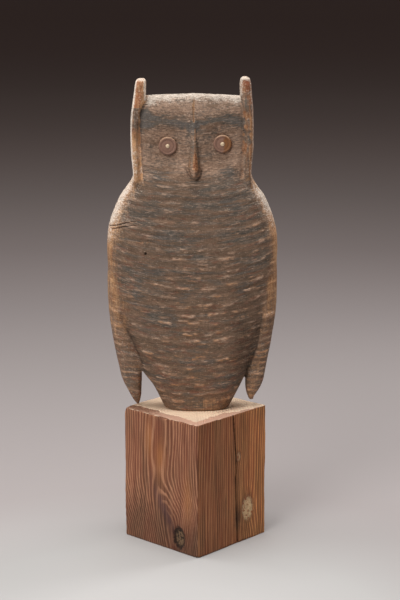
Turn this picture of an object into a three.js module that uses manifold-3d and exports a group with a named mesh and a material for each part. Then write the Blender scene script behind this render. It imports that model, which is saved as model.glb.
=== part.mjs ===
// Owl decoy: a horned owl carved from one thick plank, with two round eyes nailed to its face,
// set on a stub of old square timber.
// Millimetres, +Z up. The owl faces -Y. The origin is the middle of the timber's underside.

import * as THREE from 'three';
import { mergeVertices } from 'three/addons/utils/BufferGeometryUtils.js';
import Module from 'manifold-3d';

const wasm = await Module();
wasm.setup();

// Gap kept between pieces that rest on each other or pass through each other
const restGap = 0.3;

// Timber base
const baseSide = 140;
const baseHeight = 190.5;
const baseTurn = 47.3; // degrees, so that one corner points forward
const cornerRadius = 2; // worn upright edges
const arrisBevel = 1.6; // worn edges of the sawn ends
const shakeWidth = 2.4; // drying crack down the right front face, at the surface
const shakeDepth = 20;
const shakePlace = 76; // from the front corner, along the face
const shakeLean = 5; // its drift from top to bottom
const shakeWander = 1; // its small turns either way
const shakeBends = 6;

// Owl
const owlHeight = 460;
const owlOffset = -4; // the owl's axis from the timber's, along X
const barPitch = 9.2; // feather bars cut across breast and wings
const barDepth = 1.4;
const barRise = 8; // a bar curves up by this much from the middle to the side
const wingBarRise = 3;

// Eyes
const discDiameter = 25;
const discThickness = 4.2;
const rimWidth = 3.4; // raised ring around the sunk middle of a disc
const rimRound = 1.2;
const rimSink = 0.8;
const nailHeadDiameter = 5;
const nailHeadHeight = 1.7;
const nailShankDiameter = 2.2;
const nailLength = 22;

// The carving, in hundredths of the owl's height, up from its underside and out from its axis.
const hundredth = owlHeight / 100;

// Body and head: half width, depth in front of and behind the axis, sideways shift, squareness.
const headTop = 94.85;
const bodyStations = [
  { z: 0, half: 9.8, front: 6.7, back: 5.9, shift: 1.3, square: 2.5 },
  { z: 6.5, half: 13.1, front: 7.4, back: 6.4, shift: 1.35, square: 2.5 },
  { z: 13, half: 16.9, front: 7.9, back: 6.8, shift: 0.5, square: 2.5 },
  { z: 21.7, half: 20.8, front: 8.3, back: 7.2, shift: 0, square: 2.6 },
  { z: 32.6, half: 23.6, front: 8.5, back: 7.5, shift: 0, square: 2.8 },
  { z: 43.5, half: 25.3, front: 8.5, back: 7.6, shift: 0, square: 2.9 },
  { z: 51.1, half: 25.5, front: 8.4, back: 7.6, shift: 0, square: 3 },
  { z: 57, half: 24.7, front: 8.1, back: 7.5, shift: 0, square: 3 },
  { z: 62, half: 22.9, front: 7.8, back: 7.2, shift: 0, square: 3.1 },
  { z: 65.4, half: 21.2, front: 7.5, back: 7, shift: 0, square: 3.3 },
  { z: 68.2, half: 19.1, front: 7, back: 6.8, shift: 0, square: 3.6 },
  { z: 70.8, half: 17.5, front: 6.5, back: 6.6, shift: 0, square: 4 },
  { z: 73, half: 17.3, front: 6.4, back: 6.5, shift: 0, square: 4.4 },
  { z: 84, half: 17.8, front: 6.3, back: 6.5, shift: 0, square: 4.8 },
  { z: headTop, half: 17.1, front: 6.3, back: 6.4, shift: 0, square: 4.8 },
];
const headCrown = 0.9; // fall of the head's top from its middle to the ears
const browRoll = { height: 7, depth: 4 }; // the forehead leans back into the head's top
const napeRoll = { height: 3, depth: 2.4 };
const foot = 3; // the bars start this far above the underside
const barsEnd = 65;

// Wings: outer edge, half thickness, and setting back from the axis.
const wingTop = 57;
const wingStations = [
  { z: 0, outer: 18, thick: 1.6, back: 0.8 },
  { z: 2, outer: 18.6, thick: 2.2, back: 0.8 },
  { z: 5, outer: 20, thick: 2.9, back: 0.7 },
  { z: 8.4, outer: 21.5, thick: 3.5, back: 0.6 },
  { z: 14.3, outer: 22.75, thick: 4.1, back: 0.4 },
  { z: 20.7, outer: 24, thick: 4.8, back: 0.2 },
  { z: 29.8, outer: 25.2, thick: 5.4, back: 0 },
  { z: 39, outer: 25.55, thick: 5.1, back: 0 },
  { z: 43, outer: 25.45, thick: 4.7, back: 0 },
  { z: 47, outer: 25.3, thick: 4.3, back: 0 },
  { z: 52, outer: 24.9, thick: 3.9, back: 0 },
  { z: wingTop, outer: 23.6, thick: 3.3, back: 0 },
];
const wingSquare = 2.5;
// Each wing hangs in its own way: inner edge, tip, and the height over which one turns into the other.
const wings = {
  left: { inner: 15.4, tip: 16.7, low: 0.8, hem: 8, blunt: 0.6 },
  right: { inner: 16.1, tip: 18.1, low: 1.8, hem: 6, blunt: 1.3 },
};

// Ears: upright tabs that run on down the head's sides as raised ridges.
const earRoot = 67.5;
const ears = {
  left: { tip: 99.4, lean: 0.55, round: 0.4 },
  right: { tip: 100, lean: 0, round: 1 },
};
const earStations = ({ tip, round }) => [
  { z: earRoot, outer: 18.2, inner: 15.6, front: 5.4, back: 0 },
  { z: earRoot + 3, outer: 17.4, inner: 15.4, front: 6.8, back: 0 },
  { z: earRoot + 6, outer: 17.5, inner: 15.6, front: 7.2, back: 1 },
  { z: 78.3, outer: 17.95, inner: 15.7, front: 7.3, back: 2 },
  { z: 84, outer: 18.1, inner: 15.7, front: 7.3, back: 2.6 },
  { z: 90, outer: 17.95, inner: 15, front: 7.2, back: 3 },
  { z: tip - 6, outer: 17.6, inner: 14.1, front: 6.9, back: 2.9 },
  { z: tip - 2, outer: 17.25, inner: 13.9, front: 6.2, back: 2.3 },
  { z: tip - 0.6, outer: 17.1 - 0.2 * round, inner: 13.9 + 0.2 * round, front: 5.7, back: 1.9 },
  { z: tip, outer: 16.9 - 0.8 * round, inner: 14.1 + 0.8 * round, front: 5, back: 1.3 },
];
const earSquare = 3.4;

// Face
const faceShift = 0.9; // the face's middle from the owl's axis
const eyeSpread = 8; // each eye from the face's middle
const eyes = { left: 80.1, right: 80.7 };
const socket = { half: 6.9, height: 8, drop: 1.2, depth: 1.15, roundness: 4 };
const beakShift = -0.3; // from the face's middle
const beakStations = [
  { z: 70.6, half: 0.25, proud: 1.5 },
  { z: 71.6, half: 1.2, proud: 2.5 },
  { z: 73.4, half: 2.2, proud: 3 },
  { z: 76, half: 1.9, proud: 2.6 },
  { z: 80, half: 1.35, proud: 1.6 },
  { z: 84, half: 1.1, proud: 0.8 },
  { z: 88, half: 1, proud: 0.1 },
];

// Mesh fineness
const bodySteps = { front: 18, back: 8 };
const wingSteps = { front: 8, back: 5 };
const earSteps = { front: 7, back: 5 };
const socketSteps = 20;
const discSteps = 24;
const nailSteps = 12;

const sides = { left: -1, right: 1 };
const degree = Math.PI / 180;
const { clamp, lerp, smoothstep } = THREE.MathUtils;

// A smooth value between stations: a cubic whose slopes span each station's neighbours.
function along(stations, key, z) {
  const last = stations.length - 1;
  let i = 0;
  while (i < last - 1 && z > stations[i + 1].z) i += 1;
  const slope = (k) => {
    const below = stations[Math.max(k - 1, 0)];
    const above = stations[Math.min(k + 1, last)];
    return (above[key] - below[key]) / (above.z - below.z);
  };
  const [low, high] = [stations[i], stations[i + 1]];
  const span = high.z - low.z;
  const t = clamp((z - low.z) / span, 0, 1);
  const lowPull = t * (1 - t) ** 2 * span * slope(i);
  const highPull = t ** 2 * (t - 1) * span * slope(i + 1);
  return lerp(low[key], high[key], t * t * (3 - 2 * t)) + lowPull + highPull;
}

// A circle's sine or cosine pushed out towards a square.
const squared = (wave, square) => Math.sign(wave) * Math.abs(wave) ** (2 / square);

// Angles once round a ring, anticlockwise from +X: the back half first, then the front half.
const turns = ({ front, back }) => [
  ...Array.from({ length: back }, (_, i) => Math.PI * i / back),
  ...Array.from({ length: front }, (_, i) => Math.PI * (1 + i / front)),
];

// Heights between two levels, about one step apart.
function levels(from, to, step) {
  const count = Math.max(1, Math.round((to - from) / step));
  return Array.from({ length: count + 1 }, (_, i) => lerp(from, to, i / count));
}

// How deep the bar cut is at a point of a ring: full across the front, none at the sides.
const barCut = (fore) => barDepth / hundredth * smoothstep(-fore, 0.3, 0.75);

// A closed skin over rings of points that run anticlockwise, from the lowest ring to the highest.
function loft(rings) {
  const count = rings[0].length;
  const middle = (ring) =>
    ring.reduce((sum, p) => sum.add(p), new THREE.Vector3()).divideScalar(ring.length);
  const points = [...rings.flat(), middle(rings[0]), middle(rings.at(-1))];
  const [floor, roof] = [points.length - 2, points.length - 1];
  const top = (rings.length - 1) * count;
  const index = [];
  for (let j = 0; j < count; j += 1) {
    const next = (j + 1) % count;
    for (let i = 0; i < rings.length - 1; i += 1) {
      const [a, b] = [i * count + j, i * count + next];
      index.push(a, b, b + count, a, b + count, a + count);
    }
    index.push(floor, next, j, roof, top + j, top + next);
  }
  return new THREE.BufferGeometry().setFromPoints(points).setIndex(index);
}

// A closed geometry as a solid that can be joined and cut.
function solid(geometry) {
  const bare = geometry.clone();
  bare.deleteAttribute('normal');
  bare.deleteAttribute('uv');
  const merged = mergeVertices(bare);
  const { array } = merged.index;
  const triVerts = [];
  for (let i = 0; i < array.length; i += 3) {
    const [a, b, c] = array.slice(i, i + 3);
    if (a !== b && b !== c && c !== a) triVerts.push(a, b, c);
  }
  return new wasm.Manifold(new wasm.Mesh({
    numProp: 3,
    vertProperties: new Float32Array(merged.attributes.position.array),
    triVerts: new Uint32Array(triVerts),
  }));
}

function geometryOf(body) {
  const mesh = body.getMesh();
  const geometry = new THREE.BufferGeometry();
  geometry.setAttribute('position', new THREE.BufferAttribute(mesh.vertProperties, mesh.numProp));
  geometry.setIndex(new THREE.BufferAttribute(mesh.triVerts, 1));
  geometry.computeVertexNormals();
  return geometry;
}

// How far a face has rolled back from its own plane towards the head's top.
function rolledBack(z, roll) {
  const up = clamp((z - (headTop - roll.height)) / roll.height, 0, 1);
  return roll.depth * (1 - Math.sqrt(1 - up * up));
}

// A point on the rounded plank of body and head. Bars lift towards the sides.
function bodyPoint(level, turn, cut) {
  const lift = barRise / hundredth * smoothstep(level, 0, 8) * (1 - smoothstep(level, 60, 72));
  const z = level + lift * Math.cos(turn) ** 2;
  const value = (key) => along(bodyStations, key, z);
  const across = squared(Math.cos(turn), value('square'));
  const deep = squared(Math.sin(turn), value('square'));
  const front = value('front') - rolledBack(z, browRoll) - cut * barCut(deep);
  const back = value('back') - rolledBack(z, napeRoll);
  const crown = headCrown * across ** 2 * smoothstep(z, headTop - browRoll.height, headTop);
  return new THREE.Vector3(
    value('shift') + value('half') * across,
    deep * (deep < 0 ? front : back),
    z - crown,
  ).multiplyScalar(hundredth);
}

function carveBody() {
  const bars = levels(foot, barsEnd, barPitch / 2 / hundredth);
  const plain = levels(barsEnd, headTop - browRoll.height, 2.2);
  const crown = levels(0, 90, 18);
  const rings = [
    { z: 0, cut: 0 },
    ...bars.map((z, i) => ({ z, cut: i % 2 })),
    ...plain.slice(1, -1).map((z) => ({ z, cut: 0 })),
    ...crown.map((a) => ({ z: headTop - browRoll.height * (1 - Math.sin(a * degree)), cut: 0 })),
  ];
  return solid(loft(rings.map(({ z, cut }) => turns(bodySteps).map((t) => bodyPoint(z, t, cut)))));
}

// A wing: a long blade beside the body, free below and sunk in the shoulder above.
function carveWing(side) {
  const { inner, tip, low, hem, blunt } = wings[side];
  const rise = wingBarRise / hundredth;
  const point = (level, turn, cut) => {
    const z = level + rise * smoothstep(level, low, low + hem) * Math.cos(turn) * sides[side];
    const value = (key) => along(wingStations, key, z);
    const taper = Math.sqrt(1 - (1 - clamp((z - low) / hem, 0, 1)) ** 2);
    const outer = lerp(tip, value('outer'), taper ** 0.8);
    const inward = lerp(tip, inner, taper);
    const across = squared(Math.cos(turn), wingSquare);
    const deep = squared(Math.sin(turn), wingSquare);
    const thick = value('thick') * lerp(0.4, 1, taper) + (deep < 0 ? -cut * barCut(deep) : 0);
    return new THREE.Vector3(
      sides[side] * (outer + inward) / 2 + across * Math.max(outer - inward, blunt) / 2,
      value('back') + deep * thick,
      z,
    ).multiplyScalar(hundredth);
  };
  const tipLevels = [0, 0.05, 0.18, 0.4, 0.7].map((share) => low + share * hem);
  const bars = levels(low + hem, wingTop, barPitch / 2 / hundredth);
  const rings = [
    ...tipLevels.map((z) => ({ z, cut: 0 })),
    ...bars.map((z, i) => ({ z, cut: i % 2 })),
  ];
  return solid(loft(rings.map(({ z, cut }) => turns(wingSteps).map((t) => point(z, t, cut)))));
}

function carveEar(side) {
  const { tip, lean } = ears[side];
  const stations = earStations(ears[side]);
  const point = (z, turn) => {
    const value = (key) => along(stations, key, z);
    const [front, back] = [value('front'), value('back')];
    const upright = (value('outer') + value('inner')) / 2;
    const middle = sides[side] * (upright - lean * smoothstep(z, 84, tip));
    return new THREE.Vector3(
      middle + squared(Math.cos(turn), earSquare) * (value('outer') - value('inner')) / 2,
      (back - front) / 2 + squared(Math.sin(turn), earSquare) * (back + front) / 2,
      z,
    ).multiplyScalar(hundredth);
  };
  const heights = [...levels(earRoot, tip - 2, 2.4), tip - 0.6, tip];
  return solid(loft(heights.map((z) => turns(earSteps).map((turn) => point(z, turn)))));
}

// The nose ridge that runs down between the eyes and ends in the hooked beak.
function carveBeak() {
  const ridge = [[-1, 1.5], [-1, 0], [-0.55, -0.7], [-0.12, -1], [0.12, -1], [0.55, -0.7], [1, 0], [1, 1.5]];
  const rings = beakStations.map(({ z, half, proud }) => ridge.map(([across, deep]) => {
    const face = -along(bodyStations, 'front', z) + 0.4;
    const y = deep > 0 ? face + deep : face + deep * (proud + 0.4);
    return new THREE.Vector3(faceShift + beakShift + across * half, y, z).multiplyScalar(hundredth);
  }));
  return solid(loft(rings));
}

const eyePlace = (side) => new THREE.Vector3(
  (faceShift + sides[side] * eyeSpread) * hundredth,
  (socket.depth - along(bodyStations, 'front', eyes[side] - socket.drop)) * hundredth,
  eyes[side] * hundredth,
);

// The hollow around an eye: a flat ellipsoid scooped out of the face.
function scoopSocket(side) {
  const { half, height, drop, depth, roundness } = socket;
  const rim = Math.sqrt(1 - (1 - depth / roundness) ** 2);
  const { x, y, z } = eyePlace(side);
  const hollow = new THREE.SphereGeometry(hundredth, socketSteps, socketSteps);
  hollow.scale(half / rim, roundness, height / rim);
  hollow.translate(x, y - roundness * hundredth, z - drop * hundredth);
  return solid(hollow);
}

// A round bar along Y from one depth to another, used to cut seats and bores.
function rod(radius, from, to, steps) {
  const profile = [[0, from], [radius, from], [radius, to], [0, to]];
  return new THREE.LatheGeometry(profile.map(([r, y]) => new THREE.Vector2(r, y)), steps);
}

// The flat spot for a disc and the hole that its nail is driven into.
const nailHole = nailShankDiameter / 2 + restGap;
const nailInOwl = nailLength - discThickness - restGap;

function cutSeat(side) {
  const { x, y, z } = eyePlace(side);
  const seat = rod(discDiameter / 2 + restGap, -2 * discThickness, 0, discSteps);
  const hole = rod(nailHole, -discThickness, nailInOwl, nailSteps);
  return solid(seat).add(solid(hole)).translate([x, y, z]);
}

function carveOwl() {
  let owl = carveBody();
  for (const side of Object.keys(sides)) owl = owl.add(carveWing(side));
  for (const side of Object.keys(sides)) owl = owl.subtract(scoopSocket(side));
  for (const side of Object.keys(sides)) owl = owl.add(carveEar(side));
  owl = owl.add(carveBeak());
  for (const side of Object.keys(sides)) owl = owl.subtract(cutSeat(side));
  return geometryOf(owl);
}

// An eye disc: rounded rim, sunk middle and the nail's hole. Its back is at y = 0.
function turnDisc() {
  const edge = discDiameter / 2;
  const face = -discThickness;
  const profile = [
    [nailHole, face + rimSink],
    [edge - rimWidth, face + rimSink],
    [edge - rimWidth + rimSink, face],
    [edge - rimRound, face],
    [edge - 0.3 * rimRound, face + 0.3 * rimRound],
    [edge, face + rimRound],
    [edge, 0],
    [nailHole, 0],
    [nailHole, face + rimSink],
  ];
  const disc = new THREE.LatheGeometry(profile.map(([r, y]) => new THREE.Vector2(r, y)), discSteps);
  return geometryOf(solid(disc));
}

// A domed nail. The underside of its head is at y = 0 and its point runs to +Y.
function forgeNail() {
  const [head, shank] = [nailHeadDiameter / 2, nailShankDiameter / 2];
  const dome = levels(0, 90, 30).map(
    (a) => [head * Math.sin(a * degree), -nailHeadHeight * Math.cos(a * degree)]);
  const profile = [...dome, [shank, 0], [shank, nailLength - 4 * shank], [0, nailLength - restGap]];
  const nail = new THREE.LatheGeometry(profile.map(([r, y]) => new THREE.Vector2(r, y)), nailSteps);
  return geometryOf(solid(nail));
}

// The timber stub, with worn edges and the crack that drying opened in it.
function sawTimber() {
  const half = baseSide / 2 - arrisBevel;
  const turn = half - cornerRadius;
  const outline = new THREE.Shape();
  outline.absarc(turn, turn, cornerRadius, 0, 90 * degree);
  outline.absarc(-turn, turn, cornerRadius, 90 * degree, 180 * degree);
  outline.absarc(-turn, -turn, cornerRadius, 180 * degree, 270 * degree);
  outline.absarc(turn, -turn, cornerRadius, 270 * degree, 360 * degree);
  const timber = new THREE.ExtrudeGeometry(outline, {
    depth: baseHeight - 2 * arrisBevel,
    bevelSize: arrisBevel,
    bevelThickness: arrisBevel,
    bevelSegments: 2,
    curveSegments: 3,
  });
  timber.translate(0, 0, arrisBevel);
  const face = -baseSide / 2;
  const shake = levels(-1, baseHeight + 1, baseHeight / shakeBends).map((z, i) => {
    const drift = shakeLean * (1 - z / baseHeight) + shakeWander * Math.sin(2 * i);
    const x = face + shakePlace + drift;
    return [[-shakeWidth / 2, -1], [shakeWidth / 2, -1], [shakeWidth / 4, shakeDepth]].map(
      ([across, deep]) => new THREE.Vector3(x + across, face + deep, z));
  });
  return geometryOf(solid(timber).subtract(solid(loft(shake))));
}

// Finishes
const finish = (color, roughness, metalness = 0) =>
  new THREE.MeshStandardMaterial({ color, roughness, metalness });
const wornPaint = finish(0x6b5c4d, 0.85);
const discFinish = finish(0x7a5a50, 0.7);
const nailFinish = finish(0xb9a087, 0.5, 0.6);
const oldFir = finish(0x7f4d3a, 0.75);

function piece(name, geometry, material) {
  const mesh = new THREE.Mesh(geometry, material);
  mesh.name = name;
  return mesh;
}

const base = piece('timber_base', sawTimber(), oldFir);
base.rotation.z = baseTurn * degree;

const owl = new THREE.Group();
owl.position.set(owlOffset, 0, baseHeight + restGap);
owl.add(piece('owl', carveOwl(), wornPaint));
for (const side of Object.keys(sides)) {
  const eye = new THREE.Group();
  eye.position.copy(eyePlace(side));
  eye.position.y -= restGap;
  const disc = piece(`${side}_eye_disc`, turnDisc(), discFinish);
  const nail = piece(`${side}_eye_nail`, forgeNail(), nailFinish);
  nail.position.y = rimSink - discThickness - restGap;
  eye.add(disc, nail);
  owl.add(eye);
}

const decoy = new THREE.Group();
decoy.add(base, owl);

export default decoy;
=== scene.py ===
"""The owl decoy, dressed: a horned owl carved from one thick plank and cut all over with short gouge strokes,
its dark paint worn to the wood on crests and edges, two turned eyes nailed to its face, on a stub of old fir.

Metres, +Z up, the owl faces -Y. Sizes in the classes are millimetres where their notes say so.
"""

import logging
import math
from dataclasses import dataclass
from enum import Enum
from typing import Any, Callable, Iterable, Optional, Sequence, Union

import bpy
import numpy as np
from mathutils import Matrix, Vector


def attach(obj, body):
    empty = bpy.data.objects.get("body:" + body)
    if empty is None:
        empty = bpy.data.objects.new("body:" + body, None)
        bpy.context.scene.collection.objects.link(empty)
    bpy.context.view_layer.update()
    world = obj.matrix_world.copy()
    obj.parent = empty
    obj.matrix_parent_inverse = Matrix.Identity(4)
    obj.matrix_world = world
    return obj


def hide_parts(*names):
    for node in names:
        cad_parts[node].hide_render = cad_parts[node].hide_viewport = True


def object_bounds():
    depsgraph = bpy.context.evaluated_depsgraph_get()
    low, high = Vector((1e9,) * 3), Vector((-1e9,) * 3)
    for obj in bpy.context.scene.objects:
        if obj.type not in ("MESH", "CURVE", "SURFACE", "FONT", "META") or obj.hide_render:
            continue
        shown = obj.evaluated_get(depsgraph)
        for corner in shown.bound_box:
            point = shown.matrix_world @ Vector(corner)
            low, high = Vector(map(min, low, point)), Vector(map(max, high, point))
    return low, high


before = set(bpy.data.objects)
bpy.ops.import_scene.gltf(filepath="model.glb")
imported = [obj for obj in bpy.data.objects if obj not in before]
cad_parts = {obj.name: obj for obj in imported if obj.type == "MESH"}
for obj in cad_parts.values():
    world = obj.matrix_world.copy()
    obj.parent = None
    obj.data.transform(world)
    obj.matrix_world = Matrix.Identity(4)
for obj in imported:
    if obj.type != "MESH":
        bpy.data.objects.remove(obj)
cad_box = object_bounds()

log = logging.getLogger("owl_decoy")

MM = 0.001
JOINED = 1e-5  # Points closer than this, in metres, become one
TINY = 1e-9  # Keeps a division by a length off zero
FRONT = -8.0  # The owl's carved front lies before this along Y, mm
TIMBER_SIDE = 140.0  # Width of the timber's sides, mm
TIMBER_TURN = 47.3  # Its turn about the upright, in degrees
MARK = "marked"  # The group of points that one step of the work is limited to
Colour = tuple[float, float, float, float]
Line = tuple[tuple[float, float], ...]
Array = np.ndarray


class Side(Enum):
    """The owl's two sides as the viewer sees them."""

    LEFT = "left"
    RIGHT = "right"


class TimberFace(Enum):
    """The two faces of the timber that meet at its front corner."""

    LEFT = 0
    RIGHT = 1


# Numbers over a surface


def ease(value: Any, low: float, high: float) -> Any:
    """A smooth step.

    Args:
        value: An array, or a wire of a material.
        low: Where the step starts, at 0.
        high: Where it ends, at 1.

    Returns:
        The step's height, of the same kind as value.
    """
    if isinstance(value, Wire):
        return value.ease(low, high)
    t = np.clip((value - low) / (high - low), 0.0, 1.0)
    return t * t * (3.0 - 2.0 * t)


def sine(angle: Any) -> Any:
    """The sine of an array or a wire."""
    return angle.calculate("SINE") if isinstance(angle, Wire) else np.sin(angle)


def root(value: Any) -> Any:
    """The square root of an array or a wire."""
    return value.calculate("SQRT") if isinstance(value, Wire) else np.sqrt(value)


def bell(value: Any, width: float) -> Any:
    """A smooth hump: 1 where value is 0, and next to nothing two widths away.

    Args:
        value: Distance from the hump's middle, an array or a wire.
        width: The hump's reach.

    Returns:
        The hump's height, of the same kind as value.
    """
    spread = value * value * (-1.0 / width**2)
    return spread.calculate("EXPONENT") if isinstance(spread, Wire) else np.exp(spread)


def chance(cells: Sequence[Array], seed: int) -> Array:
    """A repeatable number from 0 to 1 for each cell of a lattice.

    Args:
        cells: The cells' whole-number coordinates, one array for each axis.
        seed: Picks one pattern.

    Returns:
        One number for each cell.
    """
    mixed = np.full(np.shape(cells[0]), seed * 668265263 & 0xFFFFFFFF, np.int64)
    for cell, prime in zip(cells, (374761393, 1274126177, 2246822519)):
        mixed = (mixed ^ (cell.astype(np.int64) * prime)) & 0xFFFFFFFF
        mixed = ((mixed ^ (mixed >> 13)) * 1103515245 + 12345) & 0xFFFFFFFF
        mixed ^= mixed >> 16
    return (mixed & 0xFFFFFF) / float(0x1000000)


def swell(points: Array, size: Union[float, Sequence[float]], seed: int) -> Array:
    """Smooth uneven rise and fall through space.

    Args:
        points: One point to a row.
        size: The swells' size, or one size for each axis.
        seed: Picks one pattern.

    Returns:
        A value from -1 to 1 for each point.
    """
    place = points / np.asarray(size, float)
    cell = np.floor(place).astype(np.int64)
    part = place - cell
    part = part * part * (3.0 - 2.0 * part)
    total = np.zeros(len(points))
    for corner in range(8):
        step = np.array([corner & 1, corner >> 1 & 1, corner >> 2 & 1])
        weight = np.prod(np.where(step, part, 1.0 - part), axis=1)
        total += weight * chance(list((cell + step).T), seed)
    return 2.0 * total - 1.0


def near_line(across: Array, up: Array, line: Sequence[tuple[float, float]]) -> Array:
    """How far points on a face are from a drawn line.

    Args:
        across: The points' places across the face.
        up: The points' heights.
        line: The line's own points.

    Returns:
        The distance of each point from the line.
    """
    best = np.full(np.shape(across), np.inf)
    for (ax, az), (bx, bz) in zip(line, line[1:]):
        run, rise = bx - ax, bz - az
        t = np.clip(((across - ax) * run + (up - az) * rise) / (run**2 + rise**2), 0.0, 1.0)
        best = np.minimum(best, np.hypot(across - ax - t * run, up - az - t * rise))
    return best


@dataclass(frozen=True)
class GougeWork:
    """Rows of short gouge strokes, whose rims stand as short crests that sag in their middle.

    Attributes:
        pitch: From row to row, mm.
        length: From one stroke to the next along a row, mm.
        width: Half the thickness of a crest, mm.
        stray: How far a crest strays from its row, as a share of the pitch.
        sag: How far a crest's middle hangs below its ends, mm.
        kept: Share of the strokes whose crest shows.
        seed: Picks one set of rows.
    """

    pitch: float
    length: float
    width: float
    stray: float
    sag: float
    kept: float
    seed: int

    def crests(self, along: Array, up: Array) -> Array:
        """The crests between the strokes at points of a face.

        Args:
            along: Places along the rows, mm.
            up: Places across the rows, mm.

        Returns:
            1 on a full crest, 0 in the hollows.
        """
        best = np.zeros(np.shape(along))
        middle = np.round(up / self.pitch)
        for step in (-1, 0, 1):
            row = middle + step
            place = along / self.length + 9.0 * chance([row], self.seed)
            cell = np.floor(place)
            shift, half, height, stray = (chance([row, cell], self.seed + k) for k in (1, 2, 3, 4))
            out = (place - cell - 0.6 + 0.2 * shift) / (0.22 + 0.17 * half)
            ends = 1.0 - ease(np.abs(out), 0.5, 1.0)
            shown = ease(height, 1.0 - self.kept, 1.35 - self.kept) * (0.6 + 0.4 * half)
            line = (row + self.stray * (stray - 0.5)) * self.pitch + self.sag * (out * out - 0.4)
            best = np.maximum(best, bell(up - line, self.width) * ends * shown)
        return best


# Materials


def operator_methods(operation: str) -> tuple[Callable[..., "Wire"], Callable[..., "Wire"]]:
    """Makes the two methods of one arithmetic sign.

    Args:
        operation: The Math node's operation.

    Returns:
        The method for a wire left of the sign, and the one for a wire right of it.
    """

    def on_left(wire: "Wire", other: Any) -> "Wire":
        """The wire comes first."""
        return wire.calculate(operation, other)

    def on_right(wire: "Wire", other: float) -> "Wire":
        """The other value comes first."""
        return wire.bench.add("ShaderNodeMath", {"operation": operation}, [other, wire])

    return on_left, on_right


class Wire:
    """A socket's value on its way through a material, used in plain arithmetic."""

    def __init__(self, bench: "Bench", socket: bpy.types.NodeSocket) -> None:
        """Wraps one output socket of the bench's tree."""
        self.bench = bench
        self.socket = socket

    __add__, __radd__ = operator_methods("ADD")
    __sub__, __rsub__ = operator_methods("SUBTRACT")
    __mul__, __rmul__ = operator_methods("MULTIPLY")
    __truediv__, __rtruediv__ = operator_methods("DIVIDE")

    def calculate(self, operation: str, *others: Any) -> "Wire":
        """Adds one Math node.

        Args:
            operation: The Math node's operation.
            others: Its further inputs, wires or numbers.

        Returns:
            The node's result.
        """
        return self.bench.add("ShaderNodeMath", {"operation": operation}, [self, *others])

    def fraction(self) -> "Wire":
        """What is left above the whole number below."""
        return self.calculate("FRACT")

    def magnitude(self) -> "Wire":
        """The value without its sign."""
        return self.calculate("ABSOLUTE")

    def within(self) -> "Wire":
        """The value held between 0 and 1."""
        return self.bench.add("ShaderNodeClamp", None, [self, 0.0, 1.0])

    def ease(self, low: float, high: float) -> "Wire":
        """A smooth step from 0 at low to 1 at high; low may be the larger."""
        if low > high:
            return 1.0 - self.ease(high, low)
        settings = {"interpolation_type": "SMOOTHSTEP"}
        return self.bench.add("ShaderNodeMapRange", settings, [self, low, high, 0.0, 1.0])


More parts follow.
